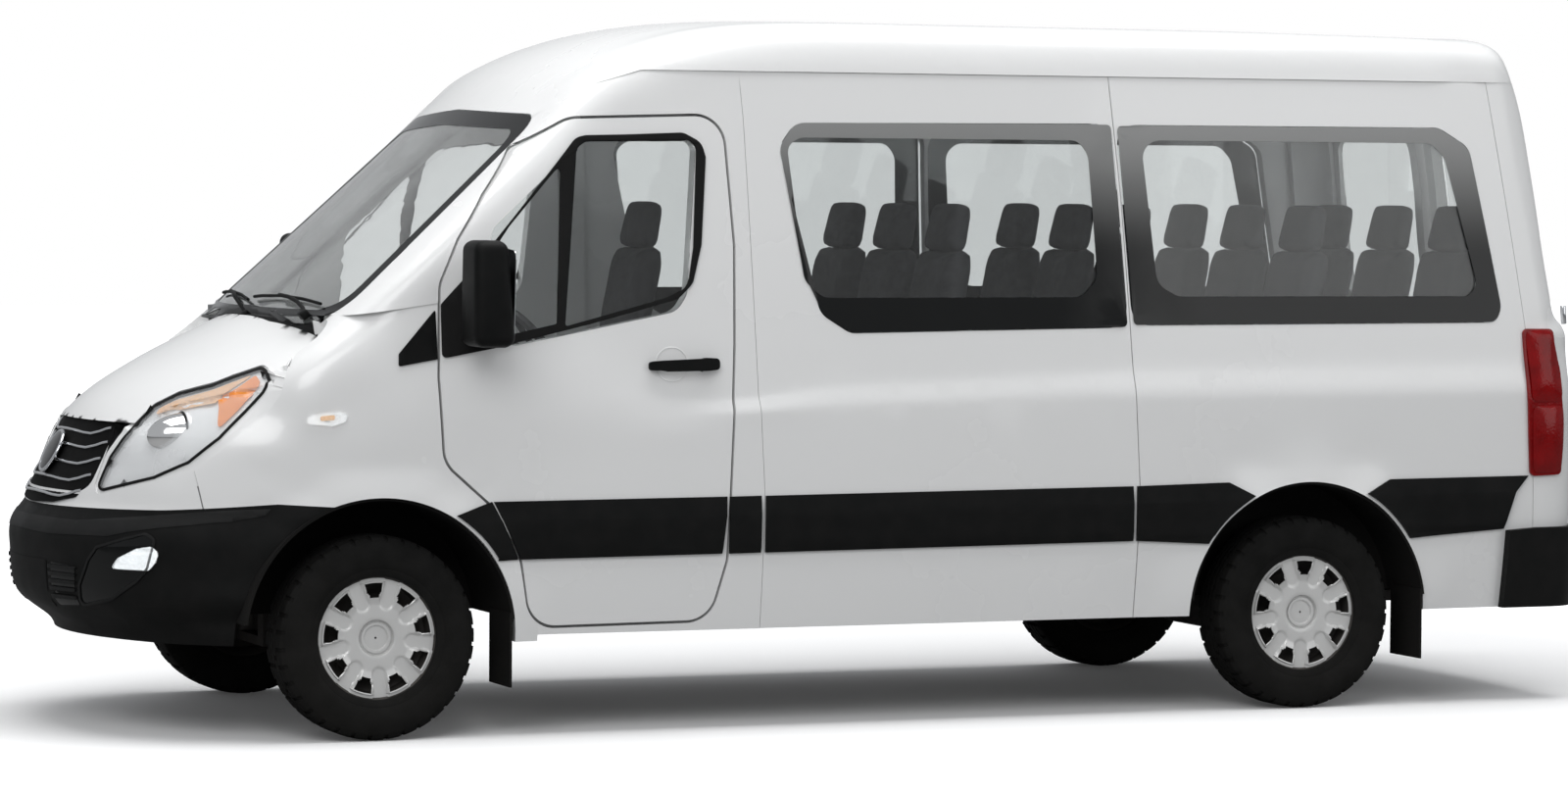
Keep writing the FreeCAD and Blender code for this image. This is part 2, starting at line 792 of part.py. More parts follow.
# The nose: bumper, front panel, fenders, lamps, grille and hood meet along shared outlines
bumper_shares = [(-0.35, 0.125), (-0.35, 0.305), (-0.29, 0.3115), (-0.2, 0.316), (-0.1, 0.326), (-0.04, 0.321),
                 (-0.04, 0.125)]
grille_shares = [(-0.457, 0.428), (-0.43, 0.345), (-0.38, 0.334), (0.38, 0.334), (0.43, 0.345), (0.457, 0.428)]
slat_shares = [0.348, 0.364, 0.38, 0.396, 0.412]
rib_shares = [-0.3, 0, 0.3]
hood_edge_shares = [(-0.244, -0.47), (-0.212, -0.518), (-0.178, -0.59), (-0.145, -0.705), (-0.113, -0.805),
                    (-0.09, -0.85), (-0.04, -0.855), (-0.045, -0.7), (-0.062, -0.35), (-0.066, 0)]
hood_front_share = 0.43
lamp_angle = math.radians(50)


def hood_prism(grow=0, low=0):
    half = hood_edge_shares
    whole = half + [(a, -b) for a, b in half[-2::-1]] + [(-0.31, 0.47), (-0.31, -0.47)]
    base = hood_front_share * height_z
    return prism("top", top_points(whole), base - low, height_z, s.corner_radius, grow)


def hood():
    return skin("hood", 0, s.hood_thickness).common(hood_prism())


def bumper():
    return skin("nose", 0, s.bumper_thickness).common(through_prism(bumper_shares)).cut(both_arches(0))


def both_arches(axle, extra=0):
    return Part.makeCylinder(s.arch_radius + extra, 2 * half_span, V(axle, -half_span, s.tyre_radius), V(0, 1, 0))


# The lamp's outline runs along a level line turned towards the corner, and up
lamp_shares = [(-0.375, 0.332), (-0.39, 0.345), (-0.33, 0.43), (-0.2, 0.52), (0.35, 0.54), (0.33, 0.475),
               (0.25, 0.43), (0.05, 0.37)]


def lamp_plug(grow=0):
    way = V(-math.cos(lamp_angle), -math.sin(lamp_angle), 0)
    across = V(math.sin(lamp_angle), -math.cos(lamp_angle), 0)
    points = [(a * s.half_width, b * height_z) for a, b in lamp_shares]
    wire = outline_wire(points, s.corner_radius / 2, grow, lambda p: across * p.x + V(0, 0, p.y))
    return Part.Face(wire).extrude(way * half_span)


def nose_pieces():
    wall = skin("nose", 0, s.panel_thickness)
    over = hood_prism(s.door_gap, s.door_gap)
    lamp = lamp_plug(s.seat_gap)
    grille_hole = prism("front", front_points(grille_shares), -length_x / 2, 0, s.corner_radius)
    low = through_prism(bumper_shares, 0, s.seat_gap)
    body = wall.cut(over).cut(low)
    fender_zone = left_prism(fender_shares)
    fender = body.common(fender_zone).cut(lamp).cut(arch_hole(0))
    fender = fender.cut(left_prism(door_shares, door_radius, s.door_gap)).cut(screen_plug(s.seat_gap))
    panel_zone = through_prism([(-0.35, 0.29), (-0.35, 0.5), (-0.13, 0.5), (-0.13, 0.29)])
    panel = body.common(panel_zone).cut(lamp).cut(mirrored(lamp)).cut(grille_hole)
    panel = panel.cut(left_prism(fender_shares, 0, s.seam_gap)).cut(mirrored(left_prism(fender_shares, 0,
                                                                                         s.seam_gap)))
    lamp_body = wall.cut(hood_prism(s.lamp_gap, s.lamp_gap)).common(lamp_plug())
    return fender, panel, lamp_body


def grille():
    """Curved slats on three ribs in the grille opening, with a round badge plate left bare."""
    hole = prism("front", front_points(grille_shares), -length_x / 2, 0, s.corner_radius, -s.seat_gap)
    lamp = lamp_plug(s.seat_gap)
    hole = hole.cut(lamp).cut(mirrored(lamp))
    band = skin("nose", s.slat_inset, s.slat_inset + s.slat_depth).common(hole)
    rib_band = skin("nose", s.slat_inset + s.slat_depth / 2, s.slat_inset + 2 * s.slat_depth).common(hole)
    pieces = []
    for share in slat_shares:
        low = share * height_z - s.slat_height / 2
        pieces.append(band.common(Part.makeBox(length_x, 2 * half_span, s.slat_height,
                                               V(-length_x, -half_span, low))))
    for share in rib_shares:
        low = share * s.half_width - s.slat_height / 2
        pieces.append(rib_band.common(Part.makeBox(length_x, s.slat_height, height_z,
                                                   V(-length_x, low, 0))))
    height = (slat_shares[2] + slat_shares[3]) / 2 * height_z
    badge = band.common(Part.makeCylinder(s.badge_radius, length_x, V(-length_x, 0, height), V(1, 0, 0)))
    return pieces[0].fuse(pieces[1:] + [badge])


# The tail: corner posts and header in one frame, and two doors hung on it
rear_door_shares = [(-0.83, 0.272), (-0.81, 0.56), (-0.755, 0.885), (0.755, 0.885), (0.81, 0.56), (0.83, 0.272)]


def rear_zone():
    shares = tail_line_shares + [(1.42, 0.1406), (1.42, 0.9208)]
    return through_prism(shares)


def rear_frame():
    wall = skin("tail", 0, s.pillar_thickness).common(rear_zone())
    rebate = skin("tail", -s.overrun, s.door_thickness + s.seat_gap)
    opening = front_points(rear_door_shares)
    wall = wall.cut(rebate.common(prism("front", opening, s.wheelbase, 2 * s.wheelbase, s.corner_radius,
                                        s.door_gap)))
    return wall.cut(prism("front", opening, s.wheelbase, 2 * s.wheelbase, s.corner_radius, -s.jamb_width))


def rear_door():
    opening = prism("front", front_points(rear_door_shares), s.wheelbase, 2 * s.wheelbase, s.corner_radius)
    door = skin("tail", 0, s.door_thickness).common(opening)
    skin_end = s.wheelbase + s.rear_overhang
    narrow = s.split_gap / 2
    wide = narrow + s.split_bevel * s.rear_overhang / s.door_thickness
    half = prism("top", [(skin_end, -narrow), (skin_end, -half_span), (s.wheelbase, -half_span),
                         (s.wheelbase, -wide)], 0, height_z)
    return door.common(half).cut(rear_glass_plug(s.seat_gap))


rear_glass_shares = [(-0.755, 0.59), (-0.71, 0.84), (-0.09, 0.84), (-0.09, 0.59)]


def rear_glass_plug(grow=0):
    return prism("front", front_points(rear_glass_shares), s.wheelbase, 2 * s.wheelbase, s.corner_radius, grow)


def rear_glass():
    return skin("tail", s.glass_inset, s.glass_inset + s.glass_thickness).common(rear_glass_plug())


rear_bumper_shares = [(1.2295, 0.1406), (1.2342, 0.256), (1.27, 0.2595), (1.42, 0.2595), (1.42, 0.1406)]
tail_lamp_shares = [(1.2546, 0.5552), (1.291, 0.5548), (1.3008, 0.43), (1.2992, 0.3378), (1.2613, 0.3358)]


def rear_bumper():
    """A bumper that wraps both rear corners and ends flat at the vehicle's rear."""
    body = skin("tail", -s.seat_gap, s.pillar_thickness)
    side = skin("side", 0, s.panel_thickness)
    shell = skin("tail", -s.rear_bumper_rise, s.seam_depth).cut(body).common(through_prism(rear_bumper_shares))
    shell = shell.cut(side).cut(mirrored(side))
    end = s.wheelbase + s.rear_overhang
    return shell.common(Part.makeBox(end, 2 * half_span, height_z, V(0, -half_span, 0)))


def tail_lamp():
    return skin("tail", -s.lamp_rise, -s.seat_gap).common(left_prism(tail_lamp_shares, s.corner_radius / 3))


both_sides("body_side", body_side())
panel = side_panel()
feature("side_panel_left", panel)
feature("sliding_door_right", mirrored(panel))
both_sides("quarter_panel", quarter_panel())
both_sides("front_door", front_door())
windows = Part.Compound([glass(middle_window_shares), glass(rear_window_shares)])
feature("side_windows", Part.Compound([windows, mirrored(windows)]))
both_sides("front_door_glass", glass(door_window_shares))
feature("roof", roof())
feature("windscreen", windscreen())
feature("hood", hood())
feature("front_bumper", bumper())
fender_shape, panel_shape, lamp_shape = nose_pieces()
both_sides("fender", fender_shape)
feature("front_panel", panel_shape)
feature("headlamps", Part.Compound([lamp_shape, mirrored(lamp_shape)]))
feature("grille", grille())
feature("rear_frame", rear_frame())
both_sides("rear_door", rear_door())
both_sides("rear_door_glass", rear_glass())
feature("rear_bumper", rear_bumper())
feature("tail_lamps", Part.Compound([tail_lamp(), mirrored(tail_lamp())]))


class Size:
    """A length of the sheet, or a sum worked out from several, as its value and as its expression."""

    def __init__(self, text, value):
        self.text = text
        self.value = value

    def joined(self, sign, other):
        other = other if isinstance(other, Size) else Size(repr(other), other)
        values = {"+": self.value + other.value, "-": self.value - other.value,
                  "*": self.value * other.value}
        return Size("(%s %s %s)" % (self.text, sign, other.text), values[sign])

    def __add__(self, other):
        return self.joined("+", other)

    def __sub__(self, other):
        return self.joined("-", other)

    def __mul__(self, other):
        return self.joined("*", other)

    def __neg__(self):
        return Size("(0 - %s)" % self.text, -self.value)


d = SimpleNamespace(**{alias: Size("Sizes." + alias, value) for alias, value in vars(s).items()})
none = Size("0", 0)
centre = (d.wheelbase + d.rear_overhang - d.front_overhang) * 0.5


def bind(item, **values):
    for name, value in values.items():
        item.setExpression(name, value.text)


def put(item, x, y, z, turn=None):
    """Place an item by its station, its side and its height."""
    base = V((x - centre).value, y.value, z.value)
    item.Placement = FreeCAD.Placement(base, turn or FreeCAD.Rotation())
    item.setExpression("Placement.Base.x", (x - centre).text)
    item.setExpression("Placement.Base.y", y.text)
    item.setExpression("Placement.Base.z", z.text)
    return item


def new(kind, name, **values):
    item = doc.addObject("Part::" + kind, name)
    bind(item, **values)
    return item


def block(name, x, y, z, long, wide, high):
    """A box that starts at a station and a height and has its middle at a given side."""
    item = new("Box", name, Length=long, Width=wide, Height=high)
    return put(item, x, y - wide * 0.5, z)


def bar(name, x, y, z, radius, long, way):
    """A round bar from a point along a way."""
    item = new("Cylinder", name, Radius=radius, Height=long)
    return put(item, x, y, z, FreeCAD.Rotation(V(0, 0, 1), way))


def joined(name, items):
    union = doc.addObject("Part::MultiFuse", name)
    union.Shapes = items
    return union


def grouped(name, items):
    group = doc.addObject("Part::Compound", name)
    group.Links = items
    return group


def node(label, item):
    item.Label = label
    nodes[label] = item
    return item


along_x = V(1, 0, 0)
along_y = V(0, 1, 0)
along_z = V(0, 0, 1)
sides = {"left": -1, "right": 1}


def sketch_on(body, role, points):
    """A closed sketch of straight lines whose corners are bound to the sheet."""
    drawing = body.newObject("Sketcher::SketchObject", body.Name + "Sketch")
    plane = [item for item in body.Origin.OriginFeatures if item.Role == role][0]
    drawing.AttachmentSupport = [(plane, "")]
    drawing.MapMode = "FlatFace"
    count = len(points)
    for i in range(count):
        a, b = points[i], points[(i + 1) % count]
        drawing.addGeometry(Part.LineSegment(V(a[0].value, a[1].value, 0), V(b[0].value, b[1].value, 0)), False)
    for i in range(count):
        drawing.addConstraint(Sketcher.Constraint("Coincident", i, 2, (i + 1) % count, 1))
    for i, (across, up) in enumerate(points):
        for kind, value in (("DistanceX", across), ("DistanceY", up)):
            index = drawing.addConstraint(Sketcher.Constraint(kind, -1, 1, i, 1, value.value))
            drawing.setExpression("Constraints[%d]" % index, value.text)
    return drawing


def origin_item(body, role):
    return [item for item in body.Origin.OriginFeatures if item.Role == role][0]


def turned(name, points):
    """A body of revolution about its own Y axis, from a profile of (radius, along)."""
    body = doc.addObject("PartDesign::Body", name)
    drawing = sketch_on(body, "XY_Plane", points)
    ring = body.newObject("PartDesign::Revolution", name + "Turn")
    ring.Profile = drawing
    ring.ReferenceAxis = (origin_item(body, "Y_Axis"), [""])
    ring.Angle = 360
    return body


# Wheels: a tyre and a steel wheel with its petal cover; the cover looks towards -Y
def tyre(label, axle, side):
    half = d.tyre_width * 0.5
    tread = half - d.tyre_shoulder
    bead = half - d.tyre_shoulder * 0.6
    low = d.rim_radius - d.rim_wall
    wall = d.tyre_radius - d.tyre_shoulder
    belly = d.rim_radius + (d.tyre_radius - d.rim_radius) * 0.5
    body = turned(label, [(low, -bead), (belly, -half), (wall, -half), (d.tyre_radius, -tread),
                          (d.tyre_radius, tread), (wall, half), (belly, half), (low, bead)])
    node(label, body)
    turn = FreeCAD.Rotation(V(0, 0, 1), 90 + 90 * side)
    return put(body, axle, d.track * (0.5 * side), d.tyre_radius, turn)


def wheel(label, axle, side):
    half = d.tyre_width * 0.5
    bead = half - d.tyre_shoulder * 0.6
    outer = d.rim_radius - d.rim_wall - d.seat_gap
    inner = outer - d.rim_wall
    face = -half + d.cover_recess
    back = face + d.cover_thickness
    dish = face + d.cover_dish
    cap = d.cap_radius
    body = turned(label, [(none, face - d.cap_height), (cap, face - d.cap_height), (cap + d.rim_wall, dish),
                          (d.slot_circle - d.slot_radius * 1.5, dish), (inner, face), (outer, face), (outer, bead),
                          (inner, bead), (inner, back + d.cover_dish),
                          (d.slot_circle - d.slot_radius * 1.5, dish + d.cover_thickness),
                          (d.hub_radius, dish + d.cover_thickness),
                          (d.hub_radius, dish + d.cover_thickness + d.hub_length * 0.35),
                          (none, dish + d.cover_thickness + d.hub_length * 0.35)])
    doc.recompute()
    slot = body.newObject("Sketcher::SketchObject", label + "SlotSketch")
    slot.AttachmentSupport = [(origin_item(body, "XZ_Plane"), "")]
    slot.MapMode = "FlatFace"
    slot.addGeometry(Part.Circle(V(d.slot_circle.value, 0, 0), V(0, 0, 1), d.slot_radius.value), False)
    place = slot.addConstraint(Sketcher.Constraint("DistanceX", -1, 1, 0, 3, d.slot_circle.value))
    slot.setExpression("Constraints[%d]" % place, d.slot_circle.text)
    slot.addConstraint(Sketcher.Constraint("PointOnObject", 0, 3, -1))
    wide = slot.addConstraint(Sketcher.Constraint("Radius", 0, d.slot_radius.value))
    slot.setExpression("Constraints[%d]" % wide, d.slot_radius.text)
    hole = body.newObject("PartDesign::Pocket", label + "Slot")
    hole.Profile = slot
    hole.Type = 1
    hole.Midplane = True
    doc.recompute()
    ring = body.newObject("PartDesign::PolarPattern", label + "Slots")
    ring.Originals = [hole]
    ring.Axis = (origin_item(body, "Y_Axis"), [""])
    ring.Angle = 360
    bind(ring, Occurrences=d.slot_count)
    body.Tip = ring
    node(label, body)
    turn = FreeCAD.Rotation(V(0, 0, 1), 90 + 90 * side)
    return put(body, axle, d.track * (0.5 * side), d.tyre_radius, turn)


for end, axle in (("front", none), ("rear", d.wheelbase)):
    for side_name, side in sides.items():
        tyre("tyre_%s_%s" % (end, side_name), axle, side)
        wheel("wheel_%s_%s" % (end, side_name), axle, side)


# Steering knuckles turn about an upright pin inside the rim
pin_side = d.track * 0.5 - d.knuckle_offset
hub_seat = d.track * 0.5 - d.hub_length * 0.35


def knuckle(side_name, side):
    name = "knuckle_" + side_name
    post = bar(name + "Post", none, pin_side * side, d.tyre_radius - d.knuckle_height * 0.5,
               d.knuckle_radius, d.knuckle_height, along_z)
    reach = d.tyre_width * 0.5 - d.cover_recess - d.cover_dish - d.cover_thickness - d.hub_length * 0.35
    stub = bar(name + "Stub", none, pin_side * side, d.tyre_radius, d.knuckle_radius * 0.8,
               d.knuckle_offset + reach - d.seat_gap, along_y * side)
    return node(name, joined(name, [post, stub]))


for side_name, side in sides.items():
    knuckle(side_name, side)


# Underbody
floor_top = d.floor_height
rail_low = d.floor_height - d.floor_thickness - d.rail_height
floor_low = d.floor_height - d.floor_thickness


def chassis():
    start = -d.front_overhang * 0.72
    long = d.wheelbase + d.front_overhang * 0.72 + d.rear_overhang * 0.84
    pieces = [block("Rail%s" % name, start, d.rail_side * side, rail_low, long, d.rail_width, d.rail_height)
              for name, side in sides.items()]
    for i, share in enumerate(cross_member_shares):
        pieces.append(block("Cross%d" % i, d.wheelbase * share, none, rail_low, d.rail_width,
                            d.rail_side * 2, d.rail_height * 0.7))
    for end, share, side in (("Front", cross_member_shares[0], 1), ("Rear", cross_member_shares[-1], -1)):
        pieces.append(towing_eye("Eye" + end, d.wheelbase * share, d.eye_side * side))
    return node("chassis_rails", joined("ChassisRails", pieces))


def towing_eye(name, station, side_place):
    """A plate with a round hole that hangs from a cross member."""
    plate = block(name + "Plate", station, side_place, rail_low - d.eye_drop, d.eye_width, d.eye_thickness,
                  d.eye_drop)
    hole = bar(name + "Hole", station + d.eye_width * 0.5, side_place - d.eye_thickness,
               rail_low - d.eye_drop + d.eye_width * 0.5, d.eye_bore, d.eye_thickness * 2, along_y)
    cut = doc.addObject("Part::Cut", name)
    cut.Base = plate
    cut.Tool = hole
    return cut


cross_member_shares = [-0.2, 0.25, 0.45, 0.7, 1.12, 1.26]


def front_suspension():
    low = d.tyre_radius - d.knuckle_height * 0.5 - d.seat_gap
    pieces = [block("FrontBeam", -d.beam_width * 0.5, none, rail_low - d.beam_height, d.beam_width,
                    d.rail_side * 2 + d.rail_width, d.beam_height)]
    for name, side in sides.items():
        arm_length = pin_side - d.rail_side
        arm = new("Box", "Arm" + name, Length=d.knuckle_radius * 2, Width=arm_length, Height=d.arm_height)
        start = d.rail_side if side > 0 else -pin_side
        pieces.append(put(arm, -d.knuckle_radius, start, low - d.arm_height))
        pieces.append(block("ArmPost" + name, -d.knuckle_radius, d.rail_side * side, low - d.arm_height,
                            d.knuckle_radius * 2, d.rail_width, rail_low - low + d.arm_height))
        pieces.append(bar("ArmEnd" + name, none, pin_side * side, low - d.arm_height, d.knuckle_radius,
                          d.arm_height, along_z))
    return node("front_suspension", joined("FrontSuspension", pieces))


def rear_axle():
    ends = d.track * 0.5 + d.tyre_width * 0.5 - d.cover_recess - d.cover_dish - d.cover_thickness
    ends = ends - d.hub_length * 0.35 - d.seat_gap
    tube = bar("AxleTube", d.wheelbase, -ends, d.tyre_radius, d.axle_radius, ends * 2, along_y)
    case = bar("AxleCase", d.wheelbase, -d.case_width * 0.5, d.tyre_radius, d.case_radius, d.case_width, along_y)
    start = d.engine_length + d.gearbox_length + d.shaft_radius * 0.06 - d.front_overhang * 0.55
    reach = d.wheelbase - start
    drop = d.shaft_height - d.tyre_radius
    way = V(reach.value, 0, -drop.value)
    shaft = new("Cylinder", "Shaft", Radius=d.shaft_radius, Height=reach)
    put(shaft, start, none, d.shaft_height, FreeCAD.Rotation(V(0, 0, 1), way))
    pieces = [tube, case, shaft]
    for name, side in sides.items():
        half = d.spring_length * 0.5
        high = d.tyre_radius + d.axle_radius
        pieces.append(block("Spring" + name, d.wheelbase - half, d.spring_side * side, high - d.spring_height,
                            d.spring_length, d.rail_width, d.spring_height))
        for end, place in (("Ahead", -half), ("Behind", half - d.rail_width)):
            pieces.append(block("Hanger" + name + end, d.wheelbase + place, d.spring_side * side,
                                high - d.spring_height, d.rail_width, d.rail_width,
                                floor_low - high + d.spring_height))
    return node("rear_axle", joined("RearAxle", pieces))


def engine():
    start = -d.front_overhang * 0.55
    high = rail_low + d.rail_height * 0.3
    case = block("EngineCase", start, none, high, d.engine_length, d.engine_width, d.engine_height)
    mount = block("EngineMount", start + d.engine_length * 0.4, none, high, d.rail_width,
                  d.rail_side * 2 - d.rail_width, d.rail_height * 0.6)
    gearbox = bar("Gearbox", start + d.engine_length, none, rail_low, d.gearbox_radius, d.gearbox_length,
                  along_x)
    return node("engine", joined("Engine", [case, mount, gearbox]))


def radiator():
    core = block("Radiator", -d.radiator_station - d.radiator_depth, none, floor_low, d.radiator_depth,
                 d.radiator_width, d.radiator_height)
    return node("radiator", core)


def tank_and_exhaust():
    tank = block("Tank", d.wheelbase * 0.42, d.tank_side, floor_low - d.tank_height, d.tank_length,
                 d.tank_width, d.tank_height)
    node("fuel_tank", tank)
    height = floor_low - d.silencer_radius - d.pipe_drop
    silencer = bar("Silencer", d.wheelbase * 0.42, -d.tank_side, height, d.silencer_radius,
                   d.silencer_length, along_x)
    pipe = bar("Pipe", d.wheelbase * 0.15, -d.tank_side, height, d.pipe_radius,
               d.wheelbase * 0.85 + d.rear_overhang * 0.85, along_x)
    hangers = [block("PipeHanger%d" % i, d.wheelbase * share, -d.tank_side, height, d.pipe_radius * 2,
                     d.pipe_radius, floor_low - height) for i, share in enumerate((0.17, 0.5, 0.8, 1.25))]
    return node("exhaust", joined("Exhaust", [silencer, pipe] + hangers))


chassis()
front_suspension()
rear_axle()
engine()
radiator()
tank_and_exhaust()


# The cabin floor is trimmed to the walls, and the wheel housings stand through it
def wall_cutter():
    wall = skin("side", -s.overrun, s.pillar_thickness + s.seat_gap)
    return wall, mirrored(wall)


def floor():
    low = s.floor_height - s.floor_thickness
    start = s.bulkhead_station + s.toe_length
    half = s.half_width - s.panel_thickness
    plate = Part.makeBox(s.wheelbase + s.rear_overhang - s.panel_thickness * 2 - start, 2 * half,
                         s.floor_thickness, V(start, -half, low))
    for wall in wall_cutter():
        plate = plate.cut(wall)
    plate = plate.cut(skin("tail", -s.overrun, s.pillar_thickness + s.seat_gap))
    for axle in (0, s.wheelbase):
        for side in sides.values():
            plate = plate.cut(housing_block(axle, side, s.arch_radius + s.seat_gap, s.seat_gap))
    return solids_of(plate)


def housing_block(axle, side, radius, extra=0):
    """The space that one wheel housing takes: a half drum from its inner wall outwards."""
    inner = (s.housing_front if axle == 0 else s.housing_rear) - extra
    start = V(axle, inner * side, s.tyre_radius)
    return Part.makeCylinder(radius, half_span - inner, start, V(0, side, 0))


def wheel_housing(axle, side):
    """A wheel housing with its inner wall and the flap behind the tyre."""
    inner = s.housing_front if axle == 0 else s.housing_rear
    outer = s.half_width - s.panel_thickness + s.housing_lip
    radius = s.arch_radius - s.seat_gap
    drum = Part.makeCylinder(radius, outer - inner, V(axle, inner * side, s.tyre_radius), V(0, side, 0))
    hollow = Part.makeCylinder(radius - s.housing_wall, outer - inner, V(axle, (inner + s.housing_wall) * side,
                                                                        s.tyre_radius), V(0, side, 0))
    shell = drum.cut(hollow)
    low = s.tyre_radius + s.housing_skirt
    shell = shell.cut(Part.makeBox(2 * length_x, 2 * half_span, height_z,
                                   V(axle - length_x, -half_span, low - height_z)))
    flap_y = outer - s.flap_width if side > 0 else -outer
    flap = Part.makeBox(s.flap_thickness, s.flap_width, s.flap_height,
                        V(axle + radius - s.housing_wall - s.flap_inset, flap_y, low + s.housing_wall * 2
                          - s.flap_height))
    return shell.fuse(flap)


feature("floor", floor())
feature("wheel_housings", Part.Compound([wheel_housing(axle, side) for axle in (0, s.wheelbase)
                                         for side in sides.values()]))


def bulkhead():
    reach = s.housing_front - s.seat_gap
    low = s.floor_height - s.floor_thickness
    toe = s.bulkhead_station + s.toe_length
    wall = s.floor_thickness
    points = [(s.bulkhead_station, s.dash_height), (s.bulkhead_station + wall, s.dash_height),
              (s.bulkhead_station + wall, s.toe_height), (toe, low + wall), (toe, low),
              (s.bulkhead_station, s.toe_height - wall)]
    lower = prism("side", points, -reach, reach)
    base = s.tyre_radius + s.arch_radius + s.seat_gap
    upper = Part.makeBox(wall, 2 * s.half_width, s.dash_height - base, V(s.bulkhead_station, -s.half_width, base))
    for cutter in wall_cutter():
        upper = upper.cut(cutter)
    return lower.fuse(upper)


feature("bulkhead", bulkhead())


def under_hood(x, y):
    """The height just below the hood's inner face."""
    def inner(*point):
        return nose_hull(*point) + s.hood_thickness + s.seat_gap

    return s.cowl_height + reach_skin(V(x, y, s.cowl_height), V(0, 0, 1), inner)


def cowl():
    """The plate under the windscreen's foot, with the two brackets that carry the hood."""
    start = s.bulkhead_station - s.cowl_reach
    plate = Part.makeBox(s.cowl_reach, 2 * s.half_width, s.cowl_thickness, V(start, -s.half_width, s.cowl_height))
    for cutter in wall_cutter():
        plate = plate.cut(cutter)
    for side in sides.values():
        middle = s.half_width * cowl_hinge_share * side
        near = middle - s.hinge_width / 2
        corners = [under_hood(start + along, middle + across * s.hinge_width / 2)
                   for along in (0, s.hinge_width) for across in (-1, 1)]
        plate = plate.fuse(Part.makeBox(s.hinge_width, s.hinge_width, min(corners) - s.cowl_height,
                                        V(start, near, s.cowl_height)))
    return plate


cowl_hinge_share = 0.55
feature("cowl", cowl())


# Seats stand in rows on the floor; every seat has a cushion, a back and a headrest
def seat(name, station, side_place):
    """One seat in three soft pieces on a frame."""
    base = d.floor_height + d.seat_base
    cushion = block(name + "Cushion", station, side_place, base, d.seat_depth, d.seat_width, d.cushion_height)
    back = new("Box", name + "Back", Length=d.back_thickness, Width=d.seat_width, Height=d.back_height)
    lean_turn = FreeCAD.Rotation(V(0, 1, 0), back_lean)
    put(back, station + d.seat_depth - d.back_thickness, side_place - d.seat_width * 0.5,
        base + d.cushion_height + d.seat_gap * 2, lean_turn)
    head = new("Box", name + "Head", Length=d.back_thickness * 0.8, Width=d.head_width, Height=d.head_height)
    rise = d.back_height * math.cos(math.radians(back_lean)) + d.head_gap
    lie = d.back_height * math.sin(math.radians(back_lean))
    put(head, station + d.seat_depth - d.back_thickness + lie, side_place - d.head_width * 0.5,
        base + d.cushion_height + rise, lean_turn)
    return [cushion, back, head]


back_lean = 12


def seat_frame(name, station, side_place):
    """A tray on two upright side plates."""
    start = station + d.seat_depth * 0.1
    long = d.seat_depth * 0.8
    tray = block(name + "Tray", start, side_place, d.floor_height + d.seat_base - d.tray_height, long,
                 d.seat_width * 0.7, d.tray_height)
    legs = [block(name + "Leg" + side_name, start, side_place + d.seat_width * (0.3 * side), d.floor_height,
                  long, d.leg_width, d.seat_base - d.tray_height) for side_name, side in sides.items()]
    return joined(name + "Frame", [tray] + legs)


row_shares = [0.56, 0.765, 0.97, 1.15]
frames = []
front_seats = []
for side_name, side in sides.items():
    front_seats += seat("Front" + side_name, d.front_seat_station, d.front_seat_side * side)
    frames.append(seat_frame("Front" + side_name, d.front_seat_station, d.front_seat_side * side))
node("front_seats", grouped("FrontSeats", front_seats))
row_items = []
for i, share in enumerate(row_shares):
    for j, place in enumerate((-1, 0, 1)):
        name = "Row%d%s" % (i, "ABC"[j])
        row_items += seat(name, d.wheelbase * share - d.seat_depth * 0.5, d.row_pitch * place)
        frames.append(seat_frame(name, d.wheelbase * share - d.seat_depth * 0.5, d.row_pitch * place))
node("passenger_seats", grouped("PassengerSeats", row_items))
node("seat_frames", grouped("SeatFrames", frames))


# Controls
def dashboard():
    start = s.bulkhead_station + s.floor_thickness
    points = [(start, s.dash_low), (start, s.dash_height), (start + s.dash_depth * 0.7, s.dash_height),
              (start + s.dash_depth, s.dash_height - s.dash_drop), (start + s.dash_depth * 0.8, s.dash_low)]
    shape = prism("side", points, -s.half_width, s.half_width, s.corner_radius / 2)
    for cutter in wall_cutter():
        shape = shape.cut(cutter)
    return shape


dash = doc.addObject("Part::Feature", "DashShell")
dash.Shape = dashboard()
dash.Placement = FreeCAD.Placement(V(-centre_x, 0, 0), FreeCAD.Rotation())
column_way = V(math.sin(math.radians(55)), 0, math.cos(math.radians(55)))
column_turn = FreeCAD.Rotation(V(0, 0, 1), column_way)
column = new("Cylinder", "SteeringColumn", Radius=d.column_radius, Height=d.column_length)
column_drop = d.column_length + d.seat_gap + d.steering_rim
put(column, d.steering_station - column_drop * column_way.x, -d.front_seat_side,
    d.steering_height - column_drop * column_way.z, column_turn)
node("dashboard", joined("Dashboard", [dash, column]))


